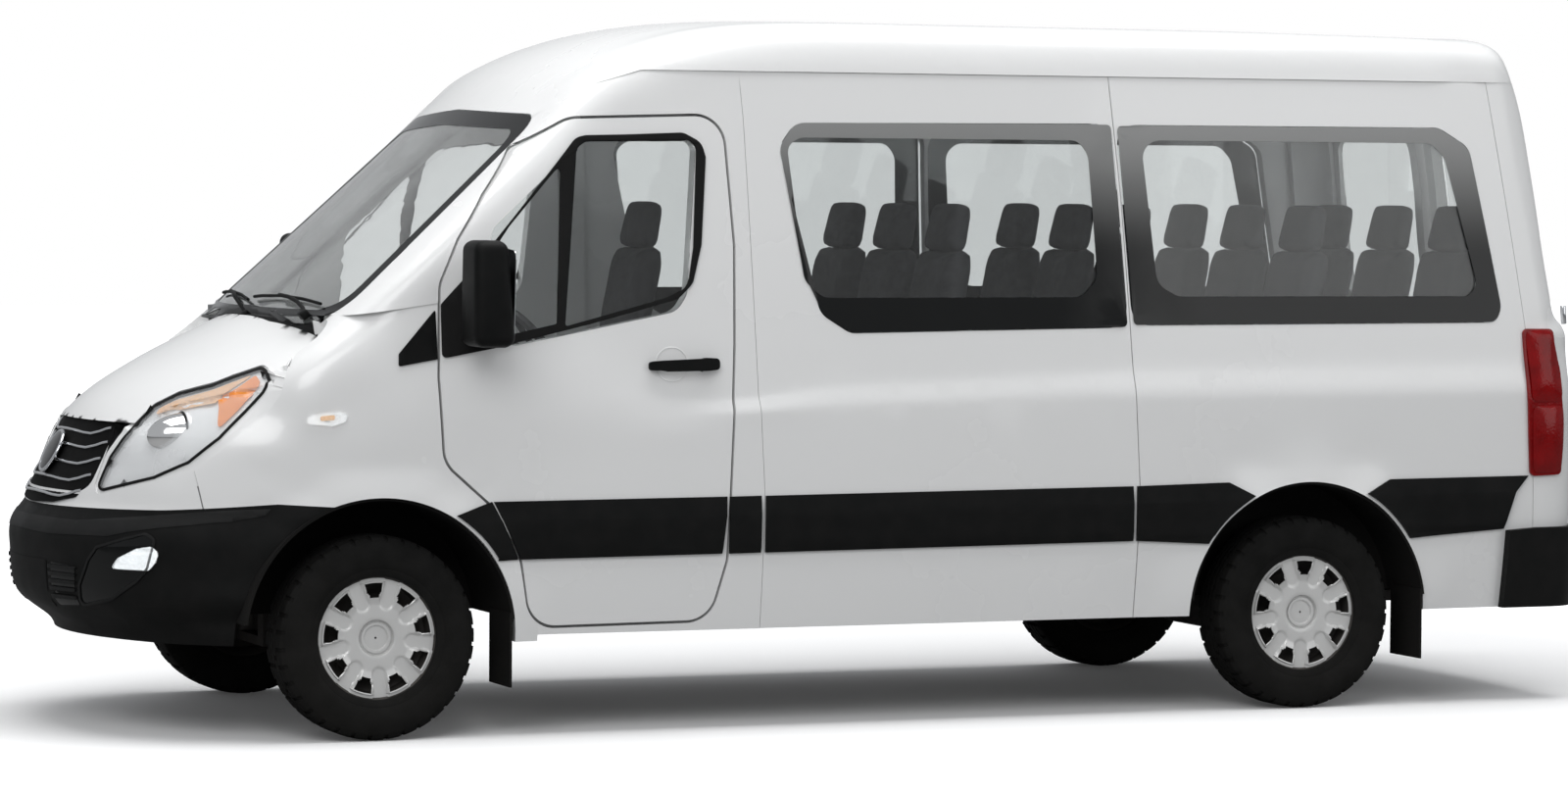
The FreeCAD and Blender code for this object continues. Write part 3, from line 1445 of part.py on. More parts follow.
def steering_wheel():
    """A rim of eight sides, a hub and three spokes, turned about the column's line."""
    thick = d.steering_rim
    radius = d.steering_radius
    body = turned("SteeringRim", [(radius - thick, -thick * 0.4), (radius - thick * 0.4, -thick),
                                  (radius + thick * 0.4, -thick), (radius + thick, -thick * 0.4),
                                  (radius + thick, thick * 0.4), (radius + thick * 0.4, thick),
                                  (radius - thick * 0.4, thick), (radius - thick, thick * 0.4)])
    place = (d.steering_station, -d.front_seat_side, d.steering_height)
    put(body, *place, FreeCAD.Rotation(V(0, 1, 0), column_way))
    hub = new("Cylinder", "SteeringHub", Radius=radius * 0.3, Height=thick * 2)
    put(hub, d.steering_station - thick * column_way.x, -d.front_seat_side,
        d.steering_height - thick * column_way.z, column_turn)
    spokes = []
    for i in range(3):
        spoke = new("Box", "SteeringSpoke%d" % i, Length=thick * 1.2, Width=thick * 1.2, Height=radius)
        way = column_turn.multVec(V(-math.cos(math.radians(120 * i)), math.sin(math.radians(120 * i)), 0))
        put(spoke, *place, FreeCAD.Rotation(V(0, 0, 1), way))
        spokes.append(spoke)
    return node("steering_wheel", joined("SteeringWheel", [body, hub] + spokes))


steering_wheel()


# Door mirrors: a tall rounded housing on a round arm that starts at the door's skin
def mirror(side_name, side):
    name = "mirror_" + side_name
    shell = block(name + "Shell", d.mirror_station, (d.mirror_side + d.mirror_width * 0.5) * side,
                  d.mirror_base, d.mirror_depth, d.mirror_width, d.mirror_height)
    doc.recompute()
    rounded = doc.addObject("Part::Fillet", name + "Round")
    rounded.Base = shell
    radius = s.mirror_round
    rounded.Edges = [(i + 1, radius, radius) for i in range(len(shell.Shape.Edges))]
    start = V(s.mirror_station + s.mirror_depth * 0.7, 0, s.mirror_base + s.mirror_depth * 0.5)
    outside = skin("side", -s.overrun * 3, -s.seat_gap)
    door = skin("side", 0, s.door_thickness)
    if side > 0:
        outside = mirrored(outside)
        door = mirrored(door)
    arm = Part.makeCylinder(s.mirror_arm_radius, s.mirror_side + s.mirror_round, start, V(0, side, 0))
    stub = doc.addObject("Part::Feature", name + "Arm")
    stub.Shape = arm.common(outside).cut(door)
    stub.Placement = FreeCAD.Placement(V(-centre_x, 0, 0), FreeCAD.Rotation())
    return node(name, joined(name, [rounded, stub]))


for side_name, side in sides.items():
    mirror(side_name, side)


def write_out():
    doc.recompute()
    for item in doc.Objects:
        if "Invalid" in item.State or "Error" in item.State:
            raise RuntimeError(item.Label + " failed: " + str(item.State))
    os.makedirs("parts", exist_ok=True)
    for label, piece in nodes.items():
        shape = piece.Shape
        if shape.isNull() or not shape.isValid() or not shape.Solids:
            raise RuntimeError(label + " has no valid solid")
    for label, piece in nodes.items():
        piece.Shape.exportStep("parts/" + label + ".step")


write_out()
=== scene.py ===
import json
import math

import bpy
from mathutils import Matrix, Vector


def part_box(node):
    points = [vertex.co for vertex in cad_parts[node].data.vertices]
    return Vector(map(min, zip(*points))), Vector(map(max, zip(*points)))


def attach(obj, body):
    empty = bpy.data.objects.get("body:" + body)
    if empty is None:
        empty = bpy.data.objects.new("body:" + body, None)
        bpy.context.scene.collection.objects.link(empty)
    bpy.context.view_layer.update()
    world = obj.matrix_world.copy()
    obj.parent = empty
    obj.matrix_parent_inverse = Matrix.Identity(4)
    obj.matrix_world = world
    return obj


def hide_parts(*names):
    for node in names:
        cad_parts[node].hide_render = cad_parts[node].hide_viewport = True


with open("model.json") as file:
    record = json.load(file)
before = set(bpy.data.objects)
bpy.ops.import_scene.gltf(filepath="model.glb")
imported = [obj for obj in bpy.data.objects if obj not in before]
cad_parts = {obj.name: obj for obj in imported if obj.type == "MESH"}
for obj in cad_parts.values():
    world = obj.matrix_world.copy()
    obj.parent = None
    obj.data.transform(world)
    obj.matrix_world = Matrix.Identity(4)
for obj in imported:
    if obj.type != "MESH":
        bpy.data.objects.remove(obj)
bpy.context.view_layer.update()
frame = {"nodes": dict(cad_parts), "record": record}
nodes = frame["nodes"]
frontAxle = -1.8775  # where the front axle stands in the frame
print("frame loaded")


# small helpers
def deselectAll():
    for item in bpy.context.selected_objects:
        item.select_set(False)


def pick(item, *others):
    deselectAll()
    for each in (item, *others):
        each.select_set(True)
    bpy.context.view_layer.objects.active = item


def applyAll(item):
    pick(item)
    bpy.ops.object.transform_apply(location=True, rotation=True, scale=True)


def applyModifiers(item):
    pick(item)
    for modifier in list(item.modifiers):
        bpy.ops.object.modifier_apply(modifier=modifier.name)


def fixNormals(item):
    pick(item)
    bpy.ops.object.mode_set(mode="EDIT")
    bpy.ops.mesh.select_all(action="SELECT")
    bpy.ops.mesh.remove_doubles(threshold=0.00002)
    bpy.ops.mesh.normals_make_consistent(inside=False)
    bpy.ops.object.mode_set(mode="OBJECT")


def smooth(item, angle=35):
    pick(item)
    bpy.ops.object.shade_smooth_by_angle(angle=math.radians(angle))


def dress(item, material, body):
    item.data.materials.clear()
    item.data.materials.append(material)
    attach(item, body)
    return item


def copyOf(item, name):
    pick(item)
    bpy.ops.object.duplicate()
    twin = bpy.context.view_layer.objects.active
    twin.name = name
    twin.parent = None
    return twin


def nodeCopy(names, name):
    # one merged mesh of several CAD nodes
    parts = []
    for node in names:
        pick(nodes[node])
        bpy.ops.object.duplicate()
        parts.append(bpy.context.view_layer.objects.active)
    deselectAll()
    for part in parts:
        part.select_set(True)
    bpy.context.view_layer.objects.active = parts[0]
    if len(parts) > 1:
        bpy.ops.object.join()
    whole = bpy.context.view_layer.objects.active
    whole.name = name
    whole.parent = None
    pick(whole)
    bpy.ops.object.mode_set(mode="EDIT")
    bpy.ops.mesh.select_all(action="SELECT")
    bpy.ops.mesh.remove_doubles(threshold=0.00002)
    bpy.ops.object.mode_set(mode="OBJECT")
    return whole


def mirrored(item, name):
    twin = copyOf(item, name)
    pick(twin)
    twin.scale = (1, -1, 1)
    bpy.ops.object.transform_apply(location=True, rotation=True, scale=True)
    bpy.ops.object.mode_set(mode="EDIT")
    bpy.ops.mesh.select_all(action="SELECT")
    bpy.ops.mesh.flip_normals()
    bpy.ops.object.mode_set(mode="OBJECT")
    return twin


def roundedLoop(points, radius, steps=6):
    # a closed outline with rounded corners
    found = []
    count = len(points)
    for i in range(count):
        here = Vector(points[i][:2])
        bend = points[i][2] if len(points[i]) > 2 else radius
        before = Vector(points[i - 1][:2])
        after = Vector(points[(i + 1) % count][:2])
        wayIn = (here - before).normalized()
        wayOut = (after - here).normalized()
        turn = wayIn.angle(wayOut)
        if bend <= 0 or turn < 0.02:
            found.append(tuple(here))
            continue
        tangent = min(bend * math.tan(turn / 2), 0.48 * (here - before).length,
                      0.48 * (after - here).length)
        start = here - wayIn * tangent
        end = here + wayOut * tangent
        for k in range(steps + 1):
            t = k / steps
            a = start.lerp(here, t)
            b = here.lerp(end, t)
            found.append(tuple(a.lerp(b, t)))
    return found


def station(points):
    # millimetres back from the front axle and up, to metres in the frame
    return [(p[0] / 1000 + frontAxle, p[1] / 1000) + tuple(r / 1000 for r in p[2:]) for p in points]


def flatSheet(name, loops, step=0.04):
    # a flat sheet in the X-Z plane, cut into a net so that it can follow a curve
    curve = bpy.data.curves.new(name, "CURVE")
    curve.dimensions = "2D"
    curve.fill_mode = "BOTH"
    for loop in loops:
        line = curve.splines.new("POLY")
        line.points.add(len(loop) - 1)
        for point, place in zip(line.points, loop):
            point.co = (place[0], place[1], 0, 1)
        line.use_cyclic_u = True
    sheet = bpy.data.objects.new(name, curve)
    bpy.context.collection.objects.link(sheet)
    pick(sheet)
    bpy.ops.object.convert(target="MESH")
    sheet = bpy.context.view_layer.objects.active
    sheet.rotation_euler = (math.pi / 2, 0, 0)
    bpy.ops.object.transform_apply(location=True, rotation=True, scale=True)
    lows = [min(p[k] for p in loops[0]) for k in range(2)]
    highs = [max(p[k] for p in loops[0]) for k in range(2)]
    bpy.ops.object.mode_set(mode="EDIT")
    for k, normal in ((0, (1, 0, 0)), (1, (0, 0, 1))):
        count = int((highs[k] - lows[k]) / step)
        for i in range(count):
            level = lows[k] + (i + 0.5) * (highs[k] - lows[k]) / count
            bpy.ops.mesh.select_all(action="SELECT")
            co = (level, 0, 0) if k == 0 else (0, 0, level)
            bpy.ops.mesh.bisect(plane_co=co, plane_no=normal)
    bpy.ops.mesh.select_all(action="SELECT")
    bpy.ops.mesh.remove_doubles(threshold=0.00005)
    bpy.ops.object.mode_set(mode="OBJECT")
    return sheet


def turnOut(item, outward):
    # an open sheet's faces made to agree, and to look the given way
    pick(item)
    bpy.ops.object.mode_set(mode="EDIT")
    bpy.ops.mesh.select_all(action="SELECT")
    bpy.ops.mesh.normals_make_consistent(inside=False)
    bpy.ops.object.mode_set(mode="OBJECT")
    if sum(face.normal.dot(outward) * face.area for face in item.data.polygons) < 0:
        bpy.ops.object.mode_set(mode="EDIT")
        bpy.ops.mesh.select_all(action="SELECT")
        bpy.ops.mesh.flip_normals()
        bpy.ops.object.mode_set(mode="OBJECT")


def projected(sheet, target):
    # a Shrinkwrap that drops the sheet along its own Y onto the target
    shrink = sheet.modifiers.new("wrap", "SHRINKWRAP")
    shrink.wrap_method = "PROJECT"
    shrink.use_project_y = True
    shrink.use_positive_direction = True
    shrink.use_negative_direction = False
    shrink.target = target


def walled(item, thickness, offset=0.0):
    solid = item.modifiers.new("wall", "SOLIDIFY")
    solid.thickness = thickness
    solid.offset = offset


def rounded(item, width, segments=2, angle=40):
    edge = item.modifiers.new("edge", "BEVEL")
    edge.width = width
    edge.segments = segments
    edge.limit_method = "ANGLE"
    edge.angle_limit = math.radians(angle)


def firstHit(item, start, aim):
    # the place where a line of sight first meets a piece, or nothing
    hit, place, normal, index = item.ray_cast(Vector(start), Vector(aim))
    return place.copy() if hit else None


def bothSides(item, finish, body="body", replaced=None):
    # one piece finished on the left, and its mirrored twin on the right
    dress(item, finish, body)
    name = item.name
    twin = mirrored(item, name.replace("left", "right") if "left" in name else name + "_right")
    dress(twin, finish, body.replace("left", "right"))
    smooth(twin)
    for node in replaced or []:
        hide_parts(node)
        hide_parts(node.replace("left", "right"))
    return item, twin


# camera, floor and light
camera = {"x": -6.9395, "y": -17.549, "z": 1.9125, "yaw": 0.3761, "pitch": -0.0411, "roll": 0.0062,
          "lens": 115.8}
# the floor is white for the camera, glows white away from the vehicle, and throws little light back
studio = {"floor": 120, "bounce": 0.3, "glow": 0.03, "shadowEnd": 4.2, "whiteFrom": 7.5, "sky": 0.42}
# name, place, what it aims at, size and power
studioLamps = [("key", (-7, -10, 8), (-0.5, 0, 1), (8, 6), 520),
               ("overhead", (0, -0.5, 9), (0, 0, 0), (11, 7), 820),
               ("fill", (8, -9, 4), (1, 0, 1), (6, 5), 120)]


def makeCamera(c):
    ahead = Vector((math.sin(c["yaw"]) * math.cos(c["pitch"]), math.cos(c["yaw"]) * math.cos(c["pitch"]),
                    math.sin(c["pitch"])))
    side = Vector((math.cos(c["yaw"]), -math.sin(c["yaw"]), 0))
    up = side.cross(ahead)
    right = side * math.cos(c["roll"]) + up * math.sin(c["roll"])
    upper = up * math.cos(c["roll"]) - side * math.sin(c["roll"])
    deselectAll()
    bpy.ops.object.camera_add()
    view = bpy.context.view_layer.objects.active
    view.data.lens = c["lens"]
    view.data.sensor_width = 36
    view.data.clip_end = 300
    turn = Matrix((right, upper, -ahead)).transposed().to_4x4()
    view.matrix_world = Matrix.Translation((c["x"], c["y"], c["z"])) @ turn
    bpy.context.scene.camera = view


def addLamp(name, place, aim, size, power):
    deselectAll()
    bpy.ops.object.light_add(type="AREA", location=place)
    lamp = bpy.context.view_layer.objects.active
    lamp.name = name
    lamp.data.shape = "RECTANGLE"
    lamp.data.size = size[0]
    lamp.data.size_y = size[1]
    lamp.data.energy = power
    lamp.rotation_mode = "QUATERNION"
    lamp.rotation_quaternion = (Vector(place) - Vector(aim)).to_track_quat("Z", "Y")


def makeStage(s):
    deselectAll()
    bpy.ops.mesh.primitive_plane_add(size=s["floor"], location=(0, 0, 0))
    floor = bpy.context.view_layer.objects.active
    floor.name = "studio_floor"
    finish = bpy.data.materials.new("studio_floor")
    finish.use_nodes = True
    tree = finish.node_tree
    tree.nodes.clear()
    out = tree.nodes.new("ShaderNodeOutputMaterial")
    matt = tree.nodes.new("ShaderNodeBsdfDiffuse")
    matt.inputs["Color"].default_value = (s["bounce"],) * 3 + (1,)
    pale = tree.nodes.new("ShaderNodeBsdfDiffuse")
    pale.inputs["Color"].default_value = (1, 1, 1, 1)
    shaded = tree.nodes.new("ShaderNodeAddShader")
    mix = tree.nodes.new("ShaderNodeMixShader")
    path = tree.nodes.new("ShaderNodeLightPath")
    seen = tree.nodes.new("ShaderNodeMath")
    seen.operation = "MAXIMUM"
    glow = tree.nodes.new("ShaderNodeEmission")
    place = tree.nodes.new("ShaderNodeTexCoord")
    length = tree.nodes.new("ShaderNodeVectorMath")
    length.operation = "LENGTH"
    far = tree.nodes.new("ShaderNodeMapRange")
    far.inputs["From Min"].default_value = s["shadowEnd"]
    far.inputs["From Max"].default_value = s["whiteFrom"]
    far.inputs["To Min"].default_value = s["glow"]
    tree.links.new(place.outputs["Object"], length.inputs[0])
    tree.links.new(length.outputs["Value"], far.inputs["Value"])
    tree.links.new(far.outputs["Result"], glow.inputs["Color"])
    tree.links.new(path.outputs["Is Camera Ray"], seen.inputs[0])
    tree.links.new(path.outputs["Is Transmission Ray"], seen.inputs[1])
    tree.links.new(pale.outputs[0], shaded.inputs[0])
    tree.links.new(glow.outputs[0], shaded.inputs[1])
    tree.links.new(seen.outputs[0], mix.inputs["Fac"])
    tree.links.new(matt.outputs[0], mix.inputs[1])
    tree.links.new(shaded.outputs[0], mix.inputs[2])
    tree.links.new(mix.outputs[0], out.inputs["Surface"])
    floor.data.materials.append(finish)
    world = bpy.data.worlds.new("studio")
    bpy.context.scene.world = world
    world.use_nodes = True
    tree = world.node_tree
    tree.nodes.clear()
    out = tree.nodes.new("ShaderNodeOutputWorld")
    light = tree.nodes.new("ShaderNodeBackground")
    light.inputs["Color"].default_value = (0.95, 0.97, 1, 1)
    light.inputs["Strength"].default_value = s["sky"]
    white = tree.nodes.new("ShaderNodeBackground")
    white.inputs["Color"].default_value = (1, 1, 1, 1)
    white.inputs["Strength"].default_value = 1
    path = tree.nodes.new("ShaderNodeLightPath")
    seen = tree.nodes.new("ShaderNodeMath")
    seen.operation = "MAXIMUM"
    mix = tree.nodes.new("ShaderNodeMixShader")
    tree.links.new(path.outputs["Is Camera Ray"], seen.inputs[0])
    tree.links.new(path.outputs["Is Transmission Ray"], seen.inputs[1])
    tree.links.new(seen.outputs[0], mix.inputs["Fac"])
    tree.links.new(light.outputs[0], mix.inputs[1])
    tree.links.new(white.outputs[0], mix.inputs[2])
    tree.links.new(mix.outputs[0], out.inputs["Surface"])
    for lamp in studioLamps:
        addLamp(*lamp)


bpy.context.scene.view_settings.view_transform = "Standard"
makeCamera(camera)
makeStage(studio)
print("camera, floor and light set")


# finishes
def group(name, build, inputs, outputs):
    made = bpy.data.node_groups.new(name, "ShaderNodeTree")
    for label, kind, value in inputs:
        socket = made.interface.new_socket(label, in_out="INPUT", socket_type=kind)
        if value is not None:
            socket.default_value = value
    for label, kind in outputs:
        made.interface.new_socket(label, in_out="OUTPUT", socket_type=kind)
    start = made.nodes.new("NodeGroupInput")
    end = made.nodes.new("NodeGroupOutput")
    build(made, start, end)
    return made


def mathNode(tree, operation, a, b=None):
    node = tree.nodes.new("ShaderNodeMath")
    node.operation = operation
    for k, value in enumerate((a, b)):
        if value is None:
            continue
        if isinstance(value, (int, float)):
            node.inputs[k].default_value = value
        else:
            tree.links.new(value, node.inputs[k])
    return node.outputs[0]


def buildGrain(tree, start, end):
    # fine moulded grain
    place = tree.nodes.new("ShaderNodeTexCoord").outputs["Object"]
    fine = tree.nodes.new("ShaderNodeTexNoise")
    fine.inputs["Detail"].default_value = 3
    cells = tree.nodes.new("ShaderNodeTexVoronoi")
    for node in (fine, cells):
        tree.links.new(place, node.inputs["Vector"])
        tree.links.new(start.outputs["Scale"], node.inputs["Scale"])
    height = mathNode(tree, "ADD", mathNode(tree, "MULTIPLY", fine.outputs[0], 0.6),
                      cells.outputs["Distance"])
    tree.links.new(height, end.inputs["Height"])


def buildMottle(tree, start, end):
    # broad soft patches between two values
    place = tree.nodes.new("ShaderNodeTexCoord").outputs["Object"]
    broad = tree.nodes.new("ShaderNodeTexNoise")
    broad.inputs["Detail"].default_value = 5
    tree.links.new(place, broad.inputs["Vector"])
    tree.links.new(start.outputs["Scale"], broad.inputs["Scale"])
    ramp = tree.nodes.new("ShaderNodeMapRange")
    ramp.inputs["From Min"].default_value = 0.35
    ramp.inputs["From Max"].default_value = 0.68
    tree.links.new(broad.outputs[0], ramp.inputs["Value"])
    tree.links.new(start.outputs["Low"], ramp.inputs["To Min"])
    tree.links.new(start.outputs["High"], ramp.inputs["To Max"])
    tree.links.new(ramp.outputs["Result"], end.inputs["Value"])


def buildRoadDust(tree, start, end):
    # road dust, thicker towards the ground
    place = tree.nodes.new("ShaderNodeTexCoord").outputs["Object"]
    parts = tree.nodes.new("ShaderNodeSeparateXYZ")
    tree.links.new(place, parts.inputs[0])
    cloud = tree.nodes.new("ShaderNodeTexNoise")
    cloud.inputs["Scale"].default_value = 3.5
    cloud.inputs["Detail"].default_value = 6
    tree.links.new(place, cloud.inputs["Vector"])
    low = tree.nodes.new("ShaderNodeMapRange")
    low.inputs["From Min"].default_value = 0.9
    low.inputs["From Max"].default_value = 0.25
    tree.links.new(parts.outputs["Z"], low.inputs["Value"])
    amount = mathNode(tree, "MULTIPLY", low.outputs["Result"], cloud.outputs[0])
    tree.links.new(mathNode(tree, "MULTIPLY", amount, start.outputs["Amount"]), end.inputs["Dust"])


def buildWeave(tree, start, end):
    # woven threads
    place = tree.nodes.new("ShaderNodeTexCoord").outputs["Object"]
    parts = tree.nodes.new("ShaderNodeSeparateXYZ")
    tree.links.new(place, parts.inputs[0])
    threads = []
    for label in ("Y", "Z"):
        wave = mathNode(tree, "MULTIPLY", parts.outputs[label], start.outputs["Threads"])
        threads.append(mathNode(tree, "SINE", wave))
    across = mathNode(tree, "MULTIPLY", threads[0], threads[1])
    level = mathNode(tree, "ADD", mathNode(tree, "MULTIPLY", across, 0.5), 0.5)
    tree.links.new(level, end.inputs["Height"])


def buildHeightFade(tree, start, end):
    # 0 at the low height and 1 at the high one: the mask of a painted sky reflection, lighter towards a
    # dark pane's top
    place = tree.nodes.new("ShaderNodeTexCoord").outputs["Object"]
    parts = tree.nodes.new("ShaderNodeSeparateXYZ")
    tree.links.new(place, parts.inputs[0])
    ramp = tree.nodes.new("ShaderNodeMapRange")
    ramp.interpolation_type = "SMOOTHSTEP"
    tree.links.new(parts.outputs["Z"], ramp.inputs["Value"])
    tree.links.new(start.outputs["Low"], ramp.inputs["From Min"])
    tree.links.new(start.outputs["High"], ramp.inputs["From Max"])
    tree.links.new(ramp.outputs["Result"], end.inputs["Value"])


number = "NodeSocketFloat"
grain = group("grain", buildGrain, [("Scale", number, 600)], [("Height", number)])
mottle = group("mottle", buildMottle, [("Scale", number, 8), ("Low", number, 0.2), ("High", number, 0.3)],
               [("Value", number)])
roadDust = group("road_dust", buildRoadDust, [("Amount", number, 1)], [("Dust", number)])
weave = group("weave", buildWeave, [("Threads", number, 2400)], [("Height", number)])
heightFade = group("height_fade", buildHeightFade, [("Low", number, 0), ("High", number, 1)],
                   [("Value", number)])


def finishOf(name, color, rough=(0.3, 0.35), metallic=0, coat=0, grainScale=0, grainDepth=0, dust=0,
             threads=0,
             tint=None, through=0, ior=1.5, alpha=1, patch=6, shine=0.5, paintedReflection=None):
    # one material: tone in patches, dust, a painted reflection and grain where they are asked for
    made = bpy.data.materials.new(name)
    made.use_nodes = True
    tree = made.node_tree
    shader = tree.nodes["Principled BSDF"]
    shader.inputs["Metallic"].default_value = metallic
    shader.inputs["IOR"].default_value = ior
    shader.inputs["Transmission Weight"].default_value = through
    shader.inputs["Alpha"].default_value = alpha
    shader.inputs["Specular IOR Level"].default_value = shine
    if coat:
        shader.inputs["Coat Weight"].default_value = coat
        shader.inputs["Coat Roughness"].default_value = 0.05
    tone = tree.nodes.new("ShaderNodeGroup")
    tone.node_tree = mottle
    tone.inputs["Scale"].default_value = patch
    tone.inputs["Low"].default_value = rough[0]
    tone.inputs["High"].default_value = rough[1]
    tree.links.new(tone.outputs[0], shader.inputs["Roughness"])
    shade = tree.nodes.new("ShaderNodeGroup")
    shade.node_tree = mottle
    shade.inputs["Scale"].default_value = patch * 2.3
    shade.inputs["Low"].default_value = 0
    shade.inputs["High"].default_value = 1
    mix = tree.nodes.new("ShaderNodeMix")
    mix.data_type = "RGBA"
    mix.inputs["A"].default_value = tuple(color) + (1,)
    mix.inputs["B"].default_value = tuple(tint or [c * 0.96 for c in color]) + (1,)
    tree.links.new(shade.outputs[0], mix.inputs["Factor"])
    result = mix.outputs["Result"]
    if dust:
        film = tree.nodes.new("ShaderNodeGroup")
        film.node_tree = roadDust
        film.inputs["Amount"].default_value = dust
        over = tree.nodes.new("ShaderNodeMix")
        over.data_type = "RGBA"
        over.inputs["B"].default_value = (0.3, 0.27, 0.24, 1)
        tree.links.new(film.outputs[0], over.inputs["Factor"])
        tree.links.new(result, over.inputs["A"])
        result = over.outputs["Result"]
    # painted reflection: the colour fades with height towards a pale grey, as if the sky were mirrored in
    # the pane
    if paintedReflection:
        high = tree.nodes.new("ShaderNodeGroup")
        high.node_tree = heightFade
        high.inputs["Low"].default_value = paintedReflection[0]
        high.inputs["High"].default_value = paintedReflection[1]
        reflectionMix = tree.nodes.new("ShaderNodeMix")
        reflectionMix.data_type = "RGBA"
        reflectionMix.inputs["B"].default_value = (paintedReflection[2], paintedReflection[2] * 1.01, paintedReflection[2], 1)
        tree.links.new(high.outputs[0], reflectionMix.inputs["Factor"])
        tree.links.new(result, reflectionMix.inputs["A"])
        result = reflectionMix.outputs["Result"]
    tree.links.new(result, shader.inputs["Base Color"])
    if grainScale or threads:
        relief = tree.nodes.new("ShaderNodeGroup")
        relief.node_tree = weave if threads else grain
        relief.inputs[0].default_value = threads or grainScale
        bump = tree.nodes.new("ShaderNodeBump")
        bump.inputs["Strength"].default_value = grainDepth
        bump.inputs["Distance"].default_value = 0.001
        tree.links.new(relief.outputs[0], bump.inputs["Height"])
        tree.links.new(bump.outputs[0], shader.inputs["Normal"])
    return made


whitePaint = finishOf("white_paint", (0.8, 0.803, 0.8), (0.25, 0.28), coat=0.35, grainScale=260,
                      grainDepth=0.02,
                      tint=(0.797, 0.8, 0.797), patch=1.2)
blackPlastic = finishOf("black_plastic", (0.0035, 0.004, 0.004), (0.5, 0.6), grainScale=900,
                        grainDepth=0.25,
                        dust=0.02, tint=(0.006, 0.006, 0.006), shine=0.12)
ledgePlastic = finishOf("ledge_plastic", (0.0075, 0.008, 0.008), (0.5, 0.6), grainScale=900, grainDepth=0.3,
                        tint=(0.011, 0.011, 0.011), shine=0.2)
glossBlack = finishOf("gloss_black", (0.004, 0.0045, 0.0045), (0.08, 0.14), shine=0.3)
# black for the window bands, with a painted sky reflection that turns it grey towards their top
paneBlackPaintedReflection = finishOf("pane_black_painted_reflection", (0.004, 0.0045, 0.0045), (0.08, 0.14), shine=0.3,
                     paintedReflection=(1.66, 2.2, 0.27))
rubber = finishOf("rubber", (0.006, 0.006, 0.006), (0.7, 0.8), grainScale=500, grainDepth=0.3, shine=0.2)
tyreRubber = finishOf("tyre_rubber", (0.0045, 0.0047, 0.0045), (0.72, 0.86), grainScale=400, grainDepth=0.5,
                      dust=0.03, tint=(0.008, 0.008, 0.0078), shine=0.12)
chrome = finishOf("chrome", (0.72, 0.73, 0.75), (0.07, 0.14), metallic=1)
lampBowl = finishOf("lamp_bowl", (0.9, 0.9, 0.9), (0.05, 0.12), metallic=1)
silverCover = finishOf("silver_cover", (0.68, 0.68, 0.67), (0.35, 0.42), metallic=0.3, coat=0.25,
                       grainScale=1500,
                       grainDepth=0.06, dust=0.02, patch=3)
darkSteel = finishOf("dark_steel", (0.02, 0.02, 0.021), (0.5, 0.65), metallic=0.3, grainScale=120,
                     grainDepth=0.3,
                     dust=0.3, tint=(0.032, 0.03, 0.028), shine=0.3)
greyCasting = finishOf("grey_casting", (0.12, 0.12, 0.125), (0.5, 0.65), metallic=0.7, grainScale=300,
                       grainDepth=0.6)
darkLiner = finishOf("dark_liner", (0.005, 0.005, 0.005), (0.8, 0.9), grainScale=300, grainDepth=0.5,
                     dust=0.05, shine=0.15)
cabinPlastic = finishOf("cabin_plastic", (0.03, 0.03, 0.033), (0.5, 0.6), grainScale=1100, grainDepth=0.3,
                        tint=(0.04, 0.04, 0.043))
seatCloth = finishOf("seat_cloth", (0.03, 0.03, 0.033), (0.85, 0.95), threads=2600, grainDepth=0.5,
                     tint=(0.045, 0.045, 0.05), patch=14)
tintedGlass = finishOf("tinted_glass", (0.74, 0.76, 0.76), (0.0, 0.02), through=1, ior=1.4,
                       tint=(0.73, 0.75, 0.75))
screenGlass = finishOf("screen_glass", (0.86, 0.88, 0.88), (0.0, 0.02), through=1, ior=1.4,
                       tint=(0.85, 0.87, 0.87))
clearLens = finishOf("clear_lens", (0.97, 0.98, 0.985), (0.0, 0.02), through=1, ior=1.3,
                     tint=(0.96, 0.97, 0.975))
amberLens = finishOf("amber_lens", (0.9, 0.3, 0.03), (0.12, 0.2), through=0.15, coat=0.4, grainScale=120,
                     grainDepth=0.5, tint=(0.85, 0.24, 0.02))
paleAmber = finishOf("pale_amber", (0.82, 0.55, 0.34), (0.15, 0.22), through=0.15, coat=0.4, grainScale=90,
                     grainDepth=0.7, tint=(0.85, 0.5, 0.26))
redLens = finishOf("red_lens", (0.24, 0.002, 0.003), (0.08, 0.14), coat=0.1, grainScale=110, grainDepth=0.4,
                   tint=(0.16, 0.0015, 0.002), shine=0.2)
print("finishes made")

slotFinish = {"white_paint": whitePaint, "window_glass": tintedGlass, "black_plastic": blackPlastic,
              "grille_chrome": chrome, "lamp_lens": clearLens, "red_lens": redLens,
              "grey_casting": greyCasting,
              "dark_steel": darkSteel, "dark_liner": darkLiner, "seat_fabric": seatCloth,
              "silver_cover": silverCover, "tyre": tyreRubber}
for part in frame["record"]["subparts"]:
    node = nodes[part["node"]]
    finish = slotFinish[part["material_slot"]]
    if part["node"] == "windscreen":
        finish = screenGlass
    if part["node"] in ("dashboard", "steering_wheel"):
        finish = cabinPlastic
    if not node.material_slots:
        node.data.materials.append(finish)
    for place in node.material_slots:
        place.material = finish
print("carried-over pieces finished")


# the skin that applied pieces lie on
outerNodes = ["body_side_left", "side_panel_left", "quarter_panel_left", "front_door_left", "fender_left",
              "front_panel", "hood", "headlamps", "front_bumper", "rear_frame", "rear_bumper", "roof",
              "side_windows", "front_door_glass_left", "windscreen", "rear_door_left",
              "rear_door_glass_left",
              "grille"]
skin = nodeCopy(outerNodes, "outer_skin")


